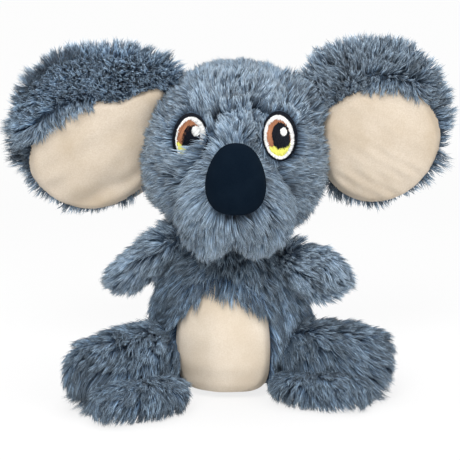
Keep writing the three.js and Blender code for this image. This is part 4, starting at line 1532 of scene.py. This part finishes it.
class KOALA_OT_torso(bpy.types.Operator):
    """Stuff the torso, sew in the belly panel and grow its pile"""

    bl_idname = "koala.torso"
    bl_label = "Torso and belly"

    # The seam between front and seat, above the floor
    seat_seam = 0.004
    # The chest's pile ends over the belly in a peak, with a slope to either side
    peak_across, peak_up = -0.0047, 0.0605
    right_slope, left_slope = -1.15, 0.56

    def execute(self, context):
        self.form = torso_form()
        self.rng = chance(60)

        def in_front(points):
            return self.wedge(self.form.to_local(points)) > 0

        def front_only(points):
            return in_front(points) & (self.belly_reach(self.form.to_local(points)) > 0.86)

        def back_only(points):
            return ~in_front(points)

        form = self.form
        add_backing("torso_back_backing", "torso", form, "torso_back_skin", keep=back_only)
        add_backing("torso_front_backing", "torso", form, "torso_front_skin", keep=front_only)
        add_wadding("torso_wadding", "torso", [form], "torso_filling")
        points, faces = smooth_panel(form, self.outline(), -0.0015, self.settle)
        add_piece(
            "belly_piece", points, faces, "belly_plush", "torso", node="belly_panel"
        )
        self.grow()
        return {"FINISHED"}

    def wedge(self, local):
        """Distance inside the front panel, from its side seams and its seam at the seat."""
        angle = math.radians(SIDE_SEAM_ANGLE)
        sides = -local[:, 1] * math.sin(angle) - np.abs(local[:, 0]) * math.cos(angle)
        return np.minimum(sides, local[:, 2] - self.seat_seam)

    def outline(self):
        """The belly panel's seam line in the torso's own frame, X and Z."""
        s = sizes()
        half, top, foot = s.belly_width / 2, s.belly_top, s.belly_foot
        tall = top - foot
        wide, waist, shoulder = half * 0.62, foot + tall * 0.4, foot + tall * 0.86
        broad, corner = half * 0.86, foot + tall * 0.05

        def bend(a, b, c, d):
            t = np.linspace(0, 1, 24, endpoint=False)[:, None]
            a, b, c, d = map(np.array, (a, b, c, d))
            return a * (1 - t) ** 3 + 3 * b * t * (1 - t) ** 2 + 3 * c * t * t * (1 - t) + d * t**3

        return np.concatenate([
            bend((0, foot), (broad, foot), (half, corner), (half, waist)),
            bend((half, waist), (half, shoulder), (wide, top), (0, top)),
            bend((0, top), (-wide, top), (-half, shoulder), (-half, waist)),
            bend((-half, waist), (-half, corner), (-broad, foot), (0, foot)),
        ])

    def belly_reach(self, local):
        """Below 1 inside the belly panel's seam line, above 1 outside."""
        edge = self.outline()
        middle = edge.mean(0)
        angles = np.arctan2(*(edge - middle).T[::-1])
        radii = np.linalg.norm(edge - middle, axis=1)
        order = np.argsort(angles)
        offset = local[:, [0, 2]] - middle
        angle = np.arctan2(offset[:, 1], offset[:, 0])
        limit = np.interp(angle, angles[order], radii[order], period=2 * math.pi)
        return np.where(local[:, 1] < 0, np.linalg.norm(offset, axis=1) / limit, OUTSIDE)

    def above_belly(self, local):
        """How far a place stands above the slanting edge that the chest's pile leaves."""
        x = local[:, 0] - self.peak_across
        fall = np.where(x < 0, self.right_slope * x, self.left_slope * x)
        return local[:, 2] - self.peak_up + fall

    def settle(self, y, at, share):
        """The belly panel is puffed, turned in at its seam and a little uneven."""
        puff = 0.0022 * (1 - share**2) - 0.0032 * smooth_step(0.9, 1.0, share)
        puff = puff + ripple(at, 0.024, 90) * 0.00035
        return y - puff

    def grow(self):
        roots, normals = scatter(self.rng, self.form)
        local = self.form.to_local(roots)
        wedge, belly = self.wedge(local), self.belly_reach(local)
        # Pile that grows over the belly panel's top is rooted on it
        over = (belly < 0.99) & (self.above_belly(local) > 0.009)
        roots = roots + normals * (over * pile().backing_depth)[:, None]
        bare = ((belly < 0.99) & ~over) | (np.abs(wedge) < 0.0006)
        for form in (head_form(), muzzle_form()):
            bare |= form.holds(roots, -SEAM_DEPTH)
        bare |= normals[:, 2] < -0.9
        bare |= (wedge > 0) & (local[:, 2] < 0.010) & (np.abs(local[:, 0]) < 0.026)
        roots, normals, local, wedge, belly, over = kept(
            ~bare, roots, normals, local, wedge, belly, over
        )
        # Where a strand stands: near the belly, above or beside it, along a seam, or on
        # the flank between belly and leg
        up = local[:, 2]
        spread = unit(local * np.array([1, 1, 0])) @ self.form.place[:3, :3].T
        near = smooth_step(1.5, 1.0, belly)
        above = near * smooth_step(0.045, 0.06, up)
        beside = near - above
        seam = smooth_step(0.004, 0.0006, np.abs(wedge))
        flank = beside * smooth_step(0.058, 0.045, up)
        flow = DOWN + spread * (0.25 + 0.5 * beside - 0.25 * above)[:, None]
        flow = flow + 0.5 * above[:, None] * ripples(roots, 0.007, 83)
        rise = 33 - 6 * near - 8 * seam - 12 * over + 14 * flank
        share = 1.0 + 0.15 * above - 0.2 * beside + 0.3 * flank - 0.2 * seam
        reach = pile().pile_length * share * (1 - 0.2 * over)
        reach = reach * (1 + 0.22 * ripple(roots, 0.009, 29) * above)
        # Painted shade darkens the pile on the chest under the head and along the seams; the pile
        # is also darker where it grows over the belly and lighter on the flanks
        chest = smooth_step(0.05, 0.08, up)
        tone = -(0.25 * seam + 0.08 + 0.25 * chest + 0.12 * over - 0.10 * flank)
        for part, mask in (("front", wedge > 0), ("back", wedge <= 0)):
            grow_pile(
                self.rng, f"torso_{part}_pile", "torso",
                *kept(mask, roots, normals, flow, rise, reach, tone), "body_pile",
                curl=0.2, tufts=(70, 7),
            )


class KOALA_OT_arms(bpy.types.Operator):
    """Stuff both arms and grow their pile"""

    bl_idname = "koala.arms"
    bl_label = "Arms"

    def execute(self, context):
        torso = torso_form()
        for k, (name, pose) in enumerate(ARMS.items()):
            form = arm_form(pose)
            rng = chance(80 + k)
            body = f"{name}_arm"
            start, way = limb_seam(form)
            bend = bend_at("torso", start, way, 0.002, 0.018)
            add_backing(f"{body}_backing", body, form, f"{body}_skin", bend=bend)
            add_wadding(f"{body}_wadding", body, [form], f"{body}_filling")
            roots, normals = scatter(rng, form, share=1.15)
            roots, normals = kept(~torso.holds(roots, -0.007), roots, normals)
            flow = np.array(way) + 0.15 * normals + 0.12 * DOWN
            from_seam = (roots - form.place[:3, 3]) @ np.array(way)
            shoulder = smooth_step(0.014, 0.0, from_seam) * smooth_step(0, 0.6, normals[:, 2])
            rise = 32 + 30 * shoulder
            reach = pile().pile_length * (0.88 + 0.2 * shoulder)
            # Painted shade darkens the pile where the arm meets the torso
            tone = -0.2 * smooth_step(1.2, 1.0, torso.reach(roots))
            grow_pile(
                rng, f"{body}_pile", body, roots, normals, flow, rise, reach, tone, bend=bend
            )
        return {"FINISHED"}


class KOALA_OT_legs(bpy.types.Operator):
    """Stuff the legs and feet and grow their pile"""

    bl_idname = "koala.legs"
    bl_label = "Legs and feet"

    def execute(self, context):
        self.torso = torso_form()
        for k, (name, pose) in enumerate(LEGS.items()):
            leg, foot = leg_form(pose), foot_form(pose)
            self.rng, self.body = chance(100 + k), f"{name}_leg"
            bend = bend_at("torso", *limb_seam(leg), 0.004, 0.02)
            self.stuff(f"{name}_leg", leg, foot, bend, 1.1, (90, 8), self.comb_leg, pose["worn"])
            self.stuff(f"{name}_foot", foot, leg, None, 1.35, (60, 5), self.comb_foot)
        return {"FINISHED"}

    def stuff(self, piece, form, other, bend, share, tufts, comb, *more):
        """One form's backing, wadding and pile. comb gives the pile's flow, rise and
        reach, and how shaded it is by the other form."""
        add_backing(f"{piece}_backing", self.body, form, f"{piece}_skin", bend=bend)
        add_wadding(f"{piece}_wadding", self.body, [form], f"{piece}_filling")
        roots, normals = scatter(self.rng, form, share=share)
        bare = self.torso.holds(roots, -0.001) | other.holds(roots, -SEAM_DEPTH)
        bare |= (normals[:, 2] < -0.8) & (roots[:, 2] < 0.008)
        roots, normals = kept(~bare, roots, normals)
        onward = np.array(form.direction((1, 0, 0)))
        end = smooth_step(0.2, 0.9, -(normals @ onward))
        beside = smooth_step(1.4, 1.05, other.reach(roots))
        flow, rise, reach, shaded = comb(form, roots, normals, onward, end, beside, *more)
        # Painted shade: the legs' and feet's pile is darker all over, as the lower body lies in
        # shade, and darker still where the torso or the other form shades it
        shade = np.maximum(smooth_step(1.2, 1.0, self.torso.reach(roots)), shaded)
        grow_pile(
            self.rng, f"{piece}_pile", self.body, roots, normals, flow, rise, reach,
            -(0.31 + 0.2 * shade), "body_pile", bend, pinch=0.34, curl=0.2, tufts=tufts,
        )

    def comb_leg(self, form, roots, normals, onward, end, beside, worn):
        """Pile along a leg, worn shorter at its tip, that hangs over the foot."""
        forward = -normals[:, 1]
        tip = smooth_step(0.3, 0.9, normals @ onward)
        hanging = beside * smooth_step(0.0, 0.5, forward)
        under = smooth_step(0.3, -0.3, normals[:, 2]) * smooth_step(0, 0.5, forward)
        flow = 0.7 * onward + np.array([0, -0.1, -0.7])
        rise = 34 - 8 * end + 16 * beside - 6 * hanging
        reach = pile().pile_length * (1 - 0.45 * end - worn * tip + 0.2 * under)
        return flow, rise, reach * (1 + 0.15 * beside + 0.28 * hanging), 0.0

    def comb_foot(self, form, roots, normals, onward, end, beside):
        """Pile that falls over a foot, short beside the leg and under the sole."""
        length_of_foot = sizes().foot_length
        heel, toe = (form.to_world(np.array([[0, 0, h * length_of_foot]]))[0] for h in (0, 1))
        spread = (roots - (heel + toe) / 2) @ onward / (length_of_foot / 2)
        under = smooth_step(0.1, 0.6, -normals[:, 2])
        beside = beside * smooth_step(-0.2, 0.5, normals[:, 2])
        flow = 0.6 * spread[:, None] * onward + np.array([0, -0.5, -0.8])
        rise = 24 - 6 * end + 28 * under
        reach = pile().pile_length * 0.8 * (1 - 0.3 * end) * (1 - 0.45 * beside)
        return flow, rise, reach * (1 - 0.12 * under), beside


class KOALA_PT_panel(bpy.types.Panel):
    """Sizes, pile, colours and the steps that build the koala"""

    bl_label = "Plush Koala"
    bl_idname = "KOALA_PT_panel"
    bl_space_type = "VIEW_3D"
    bl_region_type = "UI"
    bl_category = "Koala"

    def draw(self, context):
        layout = self.layout
        for operator in OPERATORS:
            layout.operator(operator.bl_idname)
        for group in (sizes(), pile(), colours()):
            box = layout.box()
            for key in group.bl_rna.properties.keys():
                if key not in {"rna_type", "name"}:
                    box.prop(group, key)


OPERATORS = (
    KOALA_OT_stage, KOALA_OT_head, KOALA_OT_nose, KOALA_OT_eyes,
    KOALA_OT_ears, KOALA_OT_torso, KOALA_OT_arms, KOALA_OT_legs,
)
GROUPS = {"koala_sizes": KoalaSizes, "koala_pile": KoalaPile, "koala_colours": KoalaColours}
CLASSES = (*GROUPS.values(), *OPERATORS, KOALA_PT_panel)


def register():
    for cls in CLASSES:
        bpy.utils.register_class(cls)
    for name, group in GROUPS.items():
        setattr(bpy.types.Scene, name, bpy.props.PointerProperty(type=group))


def unregister():
    for name in GROUPS:
        delattr(bpy.types.Scene, name)
    for cls in reversed(CLASSES):
        bpy.utils.unregister_class(cls)


def main():
    register()
    make_materials()
    for operator in OPERATORS:
        group, name = operator.bl_idname.split(".")
        if getattr(getattr(bpy.ops, group), name)() != {"FINISHED"}:
            raise RuntimeError(f"{operator.bl_label} could not finish")


if __name__ == "__main__":
    main()
